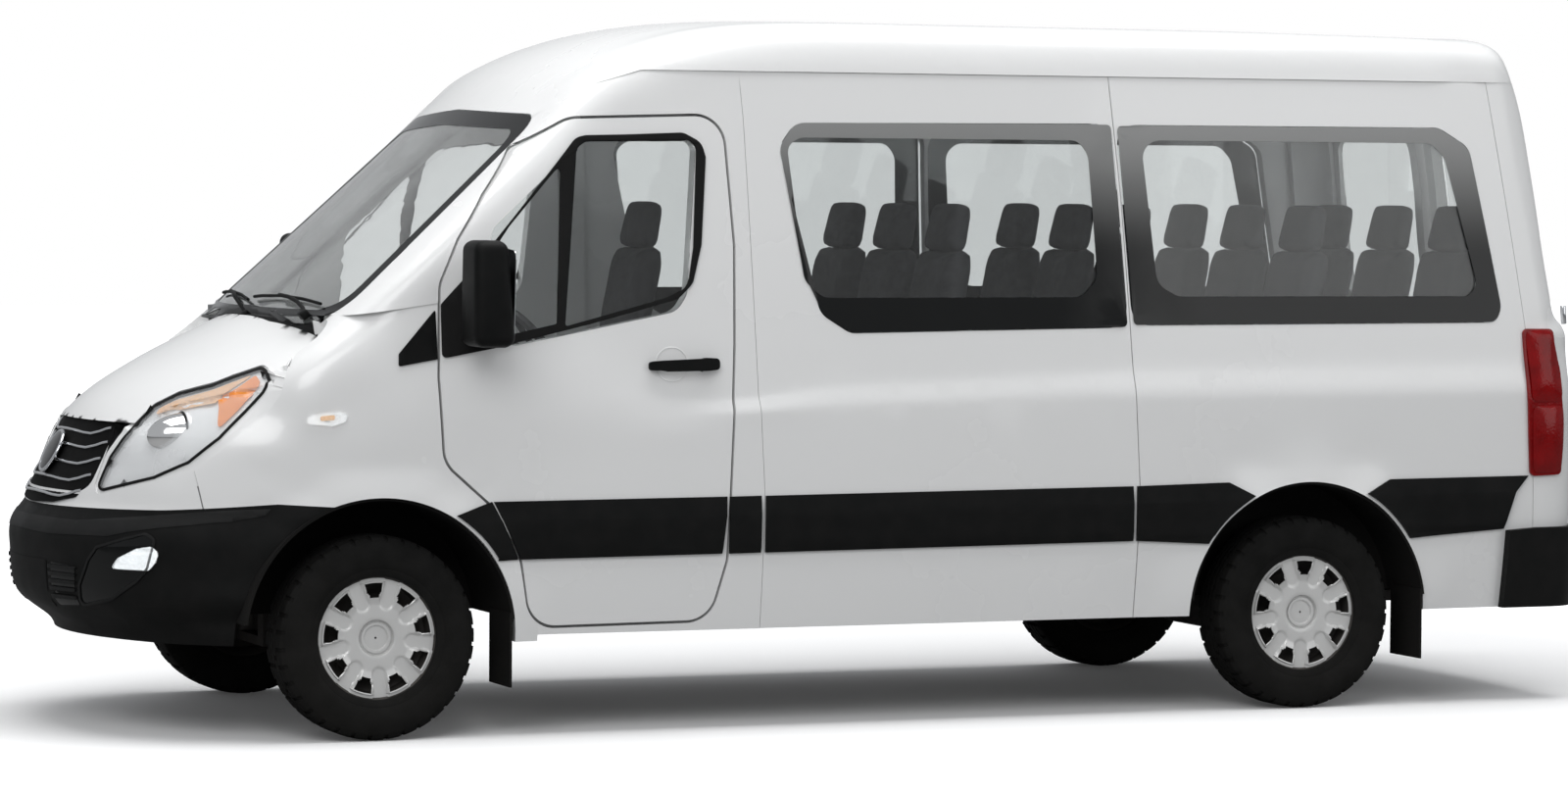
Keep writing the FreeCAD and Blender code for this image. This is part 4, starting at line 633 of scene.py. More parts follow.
def settle(sheet, limit=0.012):
    # points that fell through a gap, or past an edge, take the depth of their neighbours
    mesh = sheet.data
    near = {v.index: set() for v in mesh.vertices}
    for edge in mesh.edges:
        a, b = edge.vertices
        near[a].add(b)
        near[b].add(a)
    missed = {v.index for v in mesh.vertices if abs(v.co.y) < 1e-6}
    lost = set(missed)
    for v in mesh.vertices:
        if v.index in missed:
            continue
        around = set(near[v.index])
        for k in list(around):
            around |= near[k]
        depths = sorted(mesh.vertices[k].co.y for k in around if k not in missed)
        if depths and v.co.y - depths[len(depths) // 4] > limit:
            lost.add(v.index)
    while lost:
        found = {}
        for k in lost:
            depths = [mesh.vertices[n].co.y for n in near[k] if n not in lost]
            if depths:
                found[k] = sum(depths) / len(depths)
        if not found:
            break
        for k, depth in found.items():
            mesh.vertices[k].co.y = depth
        lost -= set(found)


def sideSheet(name, loops, finish, lift=0.0, depth=0.004, step=0.04, body="body",
              bevel=0.0,
              limit=0.012):
    # a sheet laid on the vehicle's left side, and its twin on the right
    sheet = flatSheet(name, loops, step)
    projected(sheet, skin)
    sheet.matrix_world = Matrix.Translation((0, -1.7, 0))
    applyModifiers(sheet)
    settle(sheet, limit)
    applyAll(sheet)
    turnOut(sheet, Vector((0, -1, 0)))
    for v in sheet.data.vertices:
        v.co.y -= lift
    walled(sheet, depth, 1)
    if bevel:
        rounded(sheet, bevel)
    applyModifiers(sheet)
    smooth(sheet)
    bothSides(sheet, finish, body)


def arc(middle, radius, first, last, count):
    return [(middle[0] + radius * math.cos(math.radians(first + (last - first) * i / count)),
             middle[1] + radius * math.sin(math.radians(first + (last - first) * i / count)))
            for i in range(count + 1)]


# side windows: black bands round clear glass, lighter at their top from a painted sky reflection
windowBand = {"lift": 0.0035, "depth": 0.0012, "clearRadius": 0.075}


def makeWindowBands(w):
    middle = station([(1485, 2056, 75), (1550, 2142, 75), (2784, 2150, 20), (2830, 1416, 20),
                      (1746, 1400, 90),
                      (1632, 1466, 90)])
    middleClear = station([(1517, 2057), (1560, 2092), (2650, 2092), (2690, 2040), (2714, 1588),
                           (2650, 1524),
                           (1640, 1524), (1570, 1585)])
    rear = station([(2810, 2146, 20), (4146, 2150, 90), (4272, 2079, 90), (4391, 1476, 80),
                    (4362, 1427, 60),
                    (2856, 1423, 20)])
    rearClear = station([(2908, 2050), (2950, 2094), (4110, 2094), (4165, 2040), (4288, 1570), (4255, 1524),
                         (3035, 1526), (2953, 1572)])
    for name, outer, clear in (("middle_window_band_left", middle, middleClear),
                               ("rear_window_band_left", rear, rearClear)):
        sideSheet(name, [roundedLoop(outer, 0.03), roundedLoop(clear, w["clearRadius"])], paneBlackPaintedReflection,
                  lift=w["lift"],
                  depth=w["depth"], step=0.08)


makeWindowBands(windowBand)
print("side window bands made")


# door window: rubber seal, divider and black corner
doorSeal = {"lift": 0.001, "depth": 0.007, "bevel": 0.002}


def makeDoorSeals(d):
    outer = station([(724, 2084, 60), (760, 2092), (905, 2096), (1124, 2105, 60), (1191, 2071, 60),
                     (1206, 2020),
                     (1182, 1710), (1146, 1572, 60), (1091, 1520, 80), (763, 1435), (404, 1352),
                     (216, 1318),
                     (216, 1505), (332, 1624), (652, 1998)])
    main = station([(724, 2046, 40), (760, 2071, 40), (1143, 2081, 40), (1172, 2054, 40), (1152, 1700),
                    (1128, 1560, 70), (1060, 1528, 90), (666, 1426, 10)])
    quarter = station([(663, 1992, 15), (637, 1436, 10), (404, 1386, 15), (402, 1680, 20), (470, 1775)])
    sideSheet("door_window_seal_left", [roundedLoop(outer, 0.02), roundedLoop(main, 0.02),
                                        roundedLoop(quarter, 0.02)],
              rubber, lift=d["lift"], depth=d["depth"], bevel=d["bevel"], body="front_door_left",
              limit=0.02)
    corner = station([(60, 1292, 8), (62, 1335, 8), (196, 1487), (200, 1316)])
    sideSheet("fender_corner_left", [roundedLoop(corner, 0.004)], blackPlastic, lift=d["lift"], depth=0.006,
              bevel=0.002)


makeDoorSeals(doorSeal)
print("door window seals made")


# rub strips along both sides
rubStrip = {"rise": 0.016, "bevelDrop": 0.010, "from": 383, "to": 4438, "foot": (617, 34),
            "ridge": (749, 41),
            "top": (819, 30), "footRound": 14, "footDrop": 0.005}


def stripHeights(x, r):
    # foot, ridge and top of the strip at one station, in millimetres: each starts at a height and rises
    share = (x - r["from"]) / (r["to"] - r["from"])
    return tuple(r[line][0] + r[line][1] * share for line in ("foot", "ridge", "top"))


def makeStrip(name, outline, body, r):
    # one strip: a sheet drawn out from the skin, its face bevelled above the ridge
    sheet = flatSheet(name, [station(outline)], 0.035)
    projected(sheet, skin)
    sheet.matrix_world = Matrix.Translation((0, -1.7, 0))
    applyModifiers(sheet)
    settle(sheet)
    applyAll(sheet)
    pick(sheet)
    bpy.ops.object.mode_set(mode="EDIT")
    bpy.ops.mesh.select_all(action="SELECT")
    bpy.ops.mesh.extrude_region_move(TRANSFORM_OT_translate={"value": (0, -r["rise"], 0)})
    bpy.ops.object.mode_set(mode="OBJECT")
    mesh = sheet.data
    chosen = [v for v in mesh.vertices if v.select]
    for v in chosen:
        x = (v.co.x - frontAxle) * 1000
        low, ridge, high = stripHeights(x, r)
        z = v.co.z * 1000
        if z > ridge:
            v.co.y += r["bevelDrop"] * min((z - ridge) / (high - ridge), 1)
        elif z < low + r["footRound"]:
            v.co.y += r["footDrop"] * (1 - max(z - low, 0) / r["footRound"])
    fixNormals(sheet)
    smooth(sheet, 25)
    dress(sheet, blackPlastic, body)
    twin = mirrored(sheet, name.replace("left", "right"))
    smooth(twin, 25)
    dress(twin, blackPlastic, body.replace("left", "right"))


def stripOutline(first, last, r, start=None, end=None):
    # a strip's outline between two stations, with its ends cut square unless an end is given
    lowA, ridgeA, highA = stripHeights(first, r)
    lowB, ridgeB, highB = stripHeights(last, r)
    begin = start or [(first, highA), (first, ridgeA), (first, lowA)]
    finish = end or [(last, lowB), (last, ridgeB), (last, highB)]
    return begin + finish


def makeStrips(r):
    makeStrip("door_strip_left", stripOutline(402, 1258, r, start=[(402, 822), (440, 752), (500, 620)],
                                              end=[(1247, 625), (1262, 757), (1266, 826)]),
              "front_door_left", r)
    makeStrip("pillar_strip_left", stripOutline(1276, 1388, r, end=[(1393, 626), (1394, 759), (1395, 827)]),
              "body", r)
    makeStrip("middle_strip_left", stripOutline(1412, 2846, r), "body", r)
    ahead = arc((3570, 353), 500, 147.5, 118, 8)
    makeStrip("quarter_strip_left", stripOutline(2862, 3200, r, end=ahead + [(3235, 845)]), "body", r)
    behind = arc((3570, 353), 500, 62, 33, 8)
    makeStrip("corner_strip_left", stripOutline(3900, 4440, r, start=[(3905, 846)] + behind,
                                                end=[(4392, 652), (4440, 790), (4498, 850)]), "body", r)
    flank = [(395, 822), (432, 752), (492, 620), (418, 617)] + arc((0, 353), 500, 33, 58, 6)
    makeStrip("fender_strip_left", flank, "body", {**r, "rise": 0.012, "bevelDrop": 0.006})


makeStrips(rubStrip)
print("rub strips made")


# sheets on the nose, wrapped from a turned view
def turnedPoints(points, turn):
    # measured points as seen from a turned side view: along, and up
    angle = math.radians(turn)
    return [((p[0] + frontAxle) * math.cos(angle) + p[1] * math.sin(angle),
             p[2]) + tuple(p[3:]) for p in points]


def wrapped(name, loops, turn, lift=0.0, depth=0.004, step=0.03, target=None, bevel=0.0, limit=0.06,
            outward=1.0):
    # a sheet projected onto the body from a turned side view
    sheet = flatSheet(name, loops, step)
    angle = math.radians(turn)
    sheet.matrix_world = Matrix.Rotation(angle, 4, "Z") @ Matrix.Translation((0, -5, 0))
    projected(sheet, target or skin)
    applyModifiers(sheet)
    settle(sheet, limit)
    turnOut(sheet, Vector((0, -1, 0)))
    if lift:
        sheet.data.update()
        normals = [v.normal.copy() for v in sheet.data.vertices]
        for v, normal in zip(sheet.data.vertices, normals):
            v.co += normal * lift
    if depth:
        walled(sheet, depth, outward)
    if bevel:
        rounded(sheet, bevel)
    applyModifiers(sheet)
    applyAll(sheet)
    smooth(sheet)
    return sheet


def inset(loop, amount):
    # an outline moved inwards by an amount
    count = len(loop)
    area = sum(loop[i - 1][0] * loop[i][1] - loop[i][0] * loop[i - 1][1] for i in range(count))
    side = 1 if area > 0 else -1
    found = []
    for i in range(count):
        a = Vector(loop[i - 1][:2])
        b = Vector(loop[i][:2])
        c = Vector(loop[(i + 1) % count][:2])
        first = (b - a)
        second = (c - b)
        if first.length < 1e-6 or second.length < 1e-6:
            found.append(tuple(b))
            continue
        first.normalize()
        second.normalize()
        n1 = Vector((-first.y, first.x)) * side
        n2 = Vector((-second.y, second.x)) * side
        total = n1 + n2
        scale = amount / max(1 + n1.dot(n2), 0.4)
        found.append(tuple(b + total * scale))
    return found


# headlamps
lamp = {"turn": -40, "look": -21.55, "frame": 0.009, "margin": 0.026, "wide": 0.085, "lens": 0.003,
        "deep": 0.095, "bowlRadius": 0.085}
# outlines in the slanting view from which the lamp is seen whole: along, and up, in metres
lampEdge = [(-0.638, 0.866), (-0.629, 0.894), (-0.597, 0.969), (-0.522, 1.082), (-0.446, 1.148),
            (-0.358, 1.192),
            (-0.232, 1.226), (-0.17, 1.251), (-0.063, 1.288), (-0.041, 1.276), (-0.028, 1.232),
            (-0.044, 1.201),
            (-0.188, 1.045), (-0.295, 0.960), (-0.421, 0.904), (-0.622, 0.850)]
paleEdge = [(-0.441, 1.122), (-0.421, 1.145), (-0.364, 1.172), (-0.236, 1.209), (-0.15, 1.242),
            (-0.088, 1.268),
            (-0.199, 1.192), (-0.216, 1.168), (-0.314, 1.149), (-0.391, 1.131)]
orangeEdge = [(-0.203, 1.151), (-0.206, 1.180), (-0.15, 1.214), (-0.084, 1.262), (-0.065, 1.243),
              (-0.068, 1.221),
              (-0.137, 1.141), (-0.2, 1.078)]


def onSkin(points, look):
    # where lines of sight from a slanting view meet the skin
    angle = math.radians(look)
    along = Vector((math.cos(angle), math.sin(angle), 0))
    inward = Vector((-math.sin(angle), math.cos(angle), 0))
    found = []
    for p in points:
        start = along * (p[0] + frontAxle * math.cos(angle)) - inward * 6 + Vector((0, 0, p[1]))
        found.append(firstHit(skin, start, inward))
    for i, place in enumerate(found):
        beside = [found[i - 1], found[(i + 1) % len(found)]]
        if place is None or all(k and (place - k).dot(inward) > 0.045 for k in beside):
            found[i] = (beside[0] + beside[1]) / 2
    return found


def fromSkin(points, look, turn):
    angle = math.radians(turn)
    return [(p.x * math.cos(angle) + p.y * math.sin(angle), p.z) for p in onSkin(points, look)]


def makeHeadlamps(h):
    edge = roundedLoop(fromSkin(lampEdge, h["look"], h["turn"]), 0.03, 4)
    clear = inset(edge, h["frame"])
    ring = wrapped("headlamp_gasket_left", [edge, clear], h["turn"], lift=0.001, depth=0.02, step=0.05,
                   bevel=0.0015,
                   outward=-1)
    bothSides(ring, rubber, replaced=["headlamps"])
    tip, foot = max(edge), min(edge)
    slope = (tip[1] - foot[1]) / (tip[0] - foot[0])
    below = [p[1] < foot[1] + slope * (p[0] - foot[0]) or p[0] > tip[0] - 0.05 for p in edge]
    border = [w if low else n for n, w, low in zip(inset(edge, -h["margin"]), inset(edge, -h["wide"]),
                                                   below)]
    surround = wrapped("headlamp_surround_left", [border, edge], h["turn"], lift=-0.004, depth=0.004,
                       step=0.04, outward=-1)
    bothSides(surround, whitePaint, replaced=["headlamps"])
    lens = wrapped("headlamp_lens_left", [clear], h["turn"], lift=-0.001, depth=h["lens"], step=0.02,
                   outward=-1)
    bothSides(lens, lampGlass, replaced=["headlamps"])
    housing = wrapped("headlamp_housing_left", [inset(edge, h["frame"] * 0.6)], h["turn"], lift=-0.012,
                      depth=0, step=0.03)
    angle = math.radians(h["turn"])
    inward = Vector((-math.sin(angle), math.cos(angle), 0))
    pick(housing)
    bpy.ops.object.mode_set(mode="EDIT")
    bpy.ops.mesh.select_all(action="SELECT")
    bpy.ops.mesh.extrude_region_move(TRANSFORM_OT_translate={"value": tuple(inward * h["deep"])})
    bpy.ops.transform.resize(value=(0.8, 0.8, 0.66))
    bpy.ops.object.mode_set(mode="OBJECT")
    smooth(housing, 40)
    bothSides(housing, lampHousing, replaced=["headlamps"])
    for name, outline, finish, drop in (("headlamp_indicator_left", paleEdge, paleAmber, -0.0055),
                                        ("headlamp_corner_left", orangeEdge, amberLens, -0.005)):
        loop = roundedLoop(fromSkin(outline, h["look"], h["turn"]), 0.012, 3)
        piece = wrapped(name, [loop], h["turn"], lift=drop, depth=0.003, step=0.02, outward=-1)
        bothSides(piece, finish, replaced=["headlamps"])
    look = math.radians(h["look"])
    sight = Vector((-math.sin(look), math.cos(look), 0))
    middle = onSkin([(-0.337, 1.045)], h["look"])[0] + sight * 0.1
    deselectAll()
    bpy.ops.mesh.primitive_uv_sphere_add(segments=40, ring_count=24, radius=h["bowlRadius"])
    bowl = bpy.context.view_layer.objects.active
    bowl.name = "headlamp_bowl_left"
    bpy.ops.object.mode_set(mode="EDIT")
    bpy.ops.mesh.select_all(action="SELECT")
    bpy.ops.mesh.bisect(plane_co=(0, 0, 0), plane_no=(1, 0, 0), clear_outer=True)
    bpy.ops.mesh.select_all(action="SELECT")
    bpy.ops.transform.resize(value=(1.9, 1, 1))
    bpy.ops.object.mode_set(mode="OBJECT")
    bowl.matrix_world = Matrix.Translation(middle)
    applyAll(bowl)
    smooth(bowl, 40)
    bothSides(bowl, lampBowl, replaced=["headlamps"])
    for name, size, thick, finish in (("headlamp_ring_left", 0.98, 0.0045, rubber),
                                      ("headlamp_shield_left", 0.9, 0.012, lampHousing)):
        deselectAll()
        bpy.ops.mesh.primitive_torus_add(major_radius=h["bowlRadius"] * size, minor_radius=thick,
                                         major_segments=48,
                                         minor_segments=8, rotation=(0, math.radians(90), 0))
        loop = bpy.context.view_layer.objects.active
        loop.name = name
        loop.location = middle + Vector((0.012 if size < 0.95 else 0, 0, 0))
        applyAll(loop)
        smooth(loop, 60)
        bothSides(loop, finish, replaced=["headlamps"])
    return edge


def makeHood(edge, h):
    # the hood's panel with its side edges cut back to the lamps
    panel = nodeCopy(["hood"], "hood_panel")
    bulk = inset(edge, -0.005)
    curve = flatSheet("lamp_cutter", [bulk], 0.5)
    angle = math.radians(h["turn"])
    curve.matrix_world = Matrix.Rotation(angle, 4, "Z") @ Matrix.Translation((0, -2.75, 0))
    applyAll(curve)
    solid = curve.modifiers.new("depth", "SOLIDIFY")
    solid.thickness = 1.0
    solid.offset = 1
    inward = Vector((-math.sin(angle), math.cos(angle), 0))
    if sum((f.normal.dot(inward)) * f.area for f in curve.data.polygons) < 0:
        solid.offset = -1
    applyModifiers(curve)
    fixNormals(curve)
    other = mirrored(curve, "lamp_cutter_right")
    fixNormals(other)
    for cutter in (curve, other):
        cut = panel.modifiers.new("cut", "BOOLEAN")
        cut.operation = "DIFFERENCE"
        cut.solver = "EXACT"
        cut.object = cutter
    borrow = panel.modifiers.new("shading", "DATA_TRANSFER")
    borrow.object = nodes["hood"]
    borrow.use_loop_data = True
    borrow.data_types_loops = {"CUSTOM_NORMAL"}
    borrow.loop_mapping = "POLYINTERP_NEAREST"
    applyModifiers(panel)
    for cutter in (curve, other):
        pick(cutter)
        bpy.ops.object.delete()
    dress(panel, whitePaint, "hood")
    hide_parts("hood")


lampHousing = finishOf("lamp_housing", (0.93, 0.935, 0.94), (0.2, 0.32), metallic=0.35, grainScale=60,
                       grainDepth=0.3)
lampGlass = finishOf("lamp_glass", (0.8, 0.82, 0.83), (0.02, 0.05), alpha=0.14)
lampOutline = makeHeadlamps(lamp)
makeHood(lampOutline, lamp)
print("headlamps and hood made")


# bumper: ledge, fog lamps, intake and plate holder
bumper = {"ledgeDepth": 0.007, "rim": 0.009, "plate": (0.262, 0.436, 0.604), "plateDepth": 0.012}


def makeBumperTrim(b):
    top = [(-1.03, 0.0, 0.748), (-0.998, -0.139, 0.750), (-0.929, -0.435, 0.748), (-0.755, -0.708, 0.776),
           (-0.624, -0.826, 0.793), (-0.495, -0.895, 0.804), (-0.38, -0.935, 0.808)]
    low = [(-0.40, -0.93, 0.785), (-0.495, -0.894, 0.765), (-0.617, -0.837, 0.752), (-0.735, -0.762, 0.737),
           (-0.816, -0.678, 0.720), (-0.869, -0.613, 0.703), (-0.909, -0.538, 0.702),
           (-1.001, -0.301, 0.695),
           (-1.031, -0.133, 0.70), (-1.044, 0.0, 0.702)]
    ledge = wrapped("bumper_ledge_left", [turnedPoints(top + low, -55)], -55, lift=-0.005,
                    depth=b["ledgeDepth"],
                    step=0.03, bevel=0.003)
    bothSides(ledge, ledgePlastic)
    leaf = [(-0.920, -0.444, 0.448), (-0.934, -0.471, 0.529), (-0.917, -0.529, 0.621),
            (-0.897, -0.573, 0.668),
            (-0.829, -0.673, 0.700), (-0.764, -0.741, 0.722), (-0.735, -0.775, 0.70),
            (-0.76, -0.755, 0.597),
            (-0.789, -0.721, 0.551), (-0.850, -0.620, 0.484)]
    edge = roundedLoop(turnedPoints(leaf, -40), 0.03, 4)
    inside = inset(edge, b["rim"])
    rim = wrapped("fog_leaf_rim_left", [edge, inside], -40, depth=0.006, step=0.05, bevel=0.002)
    bothSides(rim, ledgePlastic)
    panel = wrapped("fog_leaf_panel_left", [inside], -40, depth=0.0015, step=0.04)
    bothSides(panel, glossBlack)
    light = [(-0.858, -0.637, 0.594, 0.012), (-0.842, -0.668, 0.632), (-0.791, -0.728, 0.667),
             (-0.75, -0.766, 0.676),
             (-0.728, -0.786, 0.655), (-0.74, -0.776, 0.62), (-0.757, -0.758, 0.594, 0.012)]
    shape = roundedLoop(turnedPoints(light, -40), 0.025, 4)
    back = wrapped("fog_lamp_reflector_left", [shape], -40, lift=0.0015, depth=0.004, step=0.03)
    bothSides(back, lampBowl)
    lens = wrapped("fog_lamp_lens_left", [shape], -40, lift=0.006, depth=0.006, step=0.012, bevel=0.002)
    bothSides(lens, fogLens)
    half, low, high = b["plate"]
    holder = roundedLoop([(-half, low), (half, low), (half * 1.08, high), (-half * 1.08, high)], 0.012, 4)
    plate = wrapped("plate_holder", [holder], -90, lift=-0.01, depth=b["plateDepth"], step=0.04,
                    bevel=0.003)
    dress(plate, blackPlastic, "body")
    intake = roundedLoop([(0.3, 0.445), (0.44, 0.455), (0.455, 0.59), (0.31, 0.598)], 0.012, 4)
    dark = wrapped("intake_panel_left", [intake], -90, depth=0.0015, step=0.04)
    bothSides(dark, glossBlack)
    for i, z in enumerate((0.583, 0.558, 0.532, 0.507, 0.48)):
        bar = roundedLoop([(0.298, z - 0.007), (0.462 - i * 0.004, z - 0.005),
                           (0.462 - i * 0.004, z + 0.006), (0.298, z + 0.007)],
                          0.004, 3)
        strip = wrapped("intake_bar_%d_left" % (i + 1), [bar], -90, lift=0.001, depth=0.007, step=0.04,
                        bevel=0.002)
        bothSides(strip, ledgePlastic)


fogLens = finishOf("fog_lens", (0.9, 0.92, 0.93), (0.02, 0.06), through=0.9, ior=1.35, grainScale=70,
                   grainDepth=0.8)
makeBumperTrim(bumper)
print("bumper trim made")


# grille: chrome bars over a flat black sheet of painted shade
grille = {"low": 0.83, "high": 1.115, "slats": (1.066, 1.018, 0.962, 0.905, 0.85), "bar": 0.0055,
          "proud": 0.004}
# the opening seen from the front, and how far a slat droops from its end, both by distance from the middle
grilleEdge = [(0, 1.1), (0.2, 1.096), (0.362, 1.083), (0.402, 1.034), (0.4, 0.884), (0.362, 0.824),
              (0.214, 0.8), (0, 0.792)]
slatDroop = [(0, 0.02), (0.12, 0.022), (0.2, 0.026), (0.27, 0.027), (0.33, 0.017), (0.37, 0.006), (0.41, 0)]
slatEnds = (0.37, 0.392, 0.396, 0.392, 0.376)


def noseFront(g, y, z):
    # the nose's surface across the grille opening, between the panel below it and the hood's lip above
    found = []
    for height in (g["low"], g["high"]):
        found.append(firstHit(skin, (-5, y, height), (1, 0, 0)).x)
    share = (z - g["low"]) / (g["high"] - g["low"])
    return found[0] + (found[1] - found[0]) * share


def between(table, value):
    for first, second in zip(table, table[1:]):
        if value <= second[0]:
            share = (value - first[0]) / (second[0] - first[0])
            return first[1] + (second[1] - first[1]) * share
    return table[-1][1]


def barAlong(name, points, radius, resolution=3):
    # a round bar along a run of points
    line = bpy.data.curves.new(name, "CURVE")
    line.dimensions = "3D"
    line.bevel_depth = radius
    line.bevel_resolution = resolution
    line.use_fill_caps = True
    run = line.splines.new("POLY")
    run.points.add(len(points) - 1)
    for spot, place in zip(run.points, points):
        spot.co = (*place, 1)
    item = bpy.data.objects.new(name, line)
    bpy.context.collection.objects.link(item)
    pick(item)
    bpy.ops.object.convert(target="MESH")
    item = bpy.context.view_layer.objects.active
    fixNormals(item)
    smooth(item, 50)
    return item


def makeGrille(g):
    outline = roundedLoop(grilleEdge + [(-x, z) for x, z in reversed(grilleEdge[1:-1])], 0.03, 4)
    # painted shade: a flat matt black sheet just inside the nose stands in for the shaded depth of the
    # opening behind the bars
    panel = flatSheet("grille_panel", [outline], 0.03)
    for v in panel.data.vertices:
        across, height = v.co.x, v.co.z
        v.co = (noseFront(g, -across, height) - 0.0015, -across, height)
    walled(panel, 0.001, -1)
    applyModifiers(panel)
    fixNormals(panel)
    smooth(panel)
    dress(panel, paintedGrilleShade, "body")
    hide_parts("grille")
    bars = []
    for i, z in enumerate(g["slats"]):
        end = slatEnds[i]
        points = []
        for k in range(57):
            y = end * (k / 28 - 1)
            height = z - between(slatDroop, abs(y) * 0.4 / end)
            points.append((noseFront(g, y, height) - g["proud"], y, height))
        bars.append(barAlong("grille_bar_%d" % (i + 1), points, g["bar"]))
    pick(*bars)
    bpy.ops.object.join()
    joined = bpy.context.view_layer.objects.active
    joined.name = "grille_bars"
    dress(joined, chrome, "body")
    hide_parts("grille")


# matt black without shine for the sheet that paints in the shade of the grille opening
paintedGrilleShade = finishOf("painted_grille_shade", (0.004, 0.004, 0.004), (0.7, 0.85), shine=0.1)
makeGrille(grille)
print("grille made")


# badge, side markers and windscreen edge
badge = {"radius": 0.078, "height": 0.968, "tube": 0.007}


def makeBadge(b):
    deselectAll()
    bpy.ops.mesh.primitive_uv_sphere_add(segments=48, ring_count=16, radius=b["radius"])
    disc = bpy.context.view_layer.objects.active
    disc.name = "grille_badge"
    bpy.ops.object.mode_set(mode="EDIT")
    bpy.ops.mesh.select_all(action="SELECT")
    bpy.ops.mesh.bisect(plane_co=(0, 0, 0), plane_no=(0, 0, 1), clear_inner=True, use_fill=True)
    bpy.ops.mesh.select_all(action="SELECT")
    bpy.ops.transform.resize(value=(1, 1, 0.16), center_override=(0, 0, 0))
    bpy.ops.object.mode_set(mode="OBJECT")
    deselectAll()
    bpy.ops.mesh.primitive_torus_add(major_radius=b["radius"], minor_radius=b["tube"], major_segments=64,
                                     minor_segments=12)
    ring = bpy.context.view_layer.objects.active
    ring.name = "grille_badge_ring"
    high = noseFront(grille, 0, b["height"] + 0.05)
    low = noseFront(grille, 0, b["height"] - 0.05)
    slope = (high - low) / 0.1
    aim = Vector((-1, 0, slope)).normalized()
    front = (high + low) / 2 - 0.02
    for item, finish in ((disc, badgeFace), (ring, chrome)):
        faced = aim.to_track_quat("Z", "Y").to_matrix().to_4x4()
        item.matrix_world = Matrix.Translation((front, 0, b["height"])) @ faced
        applyAll(item)
        fixNormals(item)
        smooth(item, 50)
        dress(item, finish, "body")


badgeFace = finishOf("badge_face", (0.03, 0.03, 0.032), (0.2, 0.28), metallic=0.4, coat=0.2)
makeBadge(badge)

markerSpot = station([(-262, 1098, 12), (-256, 1126, 14), (-150, 1140, 22), (-120, 1132, 16),
                      (-125, 1106, 14), (-170, 1090, 20)])
markerGlow = station([(-215, 1108), (-215, 1124), (-165, 1128), (-165, 1111)])
sideSheet("side_marker_left", [roundedLoop(markerSpot, 0.02)], clearLens, depth=0.009, bevel=0.003,
          step=0.02)
sideSheet("side_marker_glow_left", [roundedLoop(markerGlow, 0.006)], paleAmber, depth=0.004, step=0.02)


def makeScreenEdge():
    outer = roundedLoop([(-0.818, 1.493), (-0.727, 2.163), (0, 2.188), (0.727, 2.163), (0.818, 1.493),
                         (0.688, 1.418),
                         (-0.688, 1.418)], 0.09, 5)
    clear = roundedLoop([(-0.772, 1.512), (-0.690, 2.112), (0, 2.136), (0.690, 2.112), (0.772, 1.512),
                         (0.66, 1.478),
                         (-0.66, 1.478)], 0.09, 5)
    band = wrapped("windscreen_edge", [outer, clear], -90, lift=0.0004, depth=0.0015, step=0.08,
                   target=nodes["windscreen"], limit=0.5)
    dress(band, glossBlack, "body")


makeScreenEdge()
print("badge, markers and windscreen edge made")


# wheels: tyres with tread, rims and petal covers
wheel = {"segments": 216, "petals": 9, "rimRadius": 0.222, "holeIn": 0.137, "holeOut": 0.192, "blocks": 72,
         "shoulderCut": 0.006, "grooveCut": 0.007}
wheelNames = [("front_left", -1), ("front_right", 1), ("rear_left", -1), ("rear_right", 1)]


def ringStack(name, rings, segments, closed=False):
    # a turned form: one circle drawn out ring after ring
    deselectAll()
    first = rings[0]
    bpy.ops.mesh.primitive_circle_add(vertices=segments, radius=first[0], fill_type="NOTHING",
                                      location=(0, 0, first[1]))
    item = bpy.context.view_layer.objects.active
    item.name = name
    applyAll(item)
    bpy.ops.object.mode_set(mode="EDIT")
    bpy.ops.mesh.select_all(action="SELECT")
    for (r0, z0), (r1, z1) in zip(rings, rings[1:]):
        bpy.ops.mesh.extrude_region_move(TRANSFORM_OT_translate={"value": (0, 0, z1 - z0)})
        bpy.ops.transform.resize(value=(r1 / r0, r1 / r0, 1))
    if closed:
        bpy.ops.mesh.edge_face_add()
    bpy.ops.object.mode_set(mode="OBJECT")
    return item


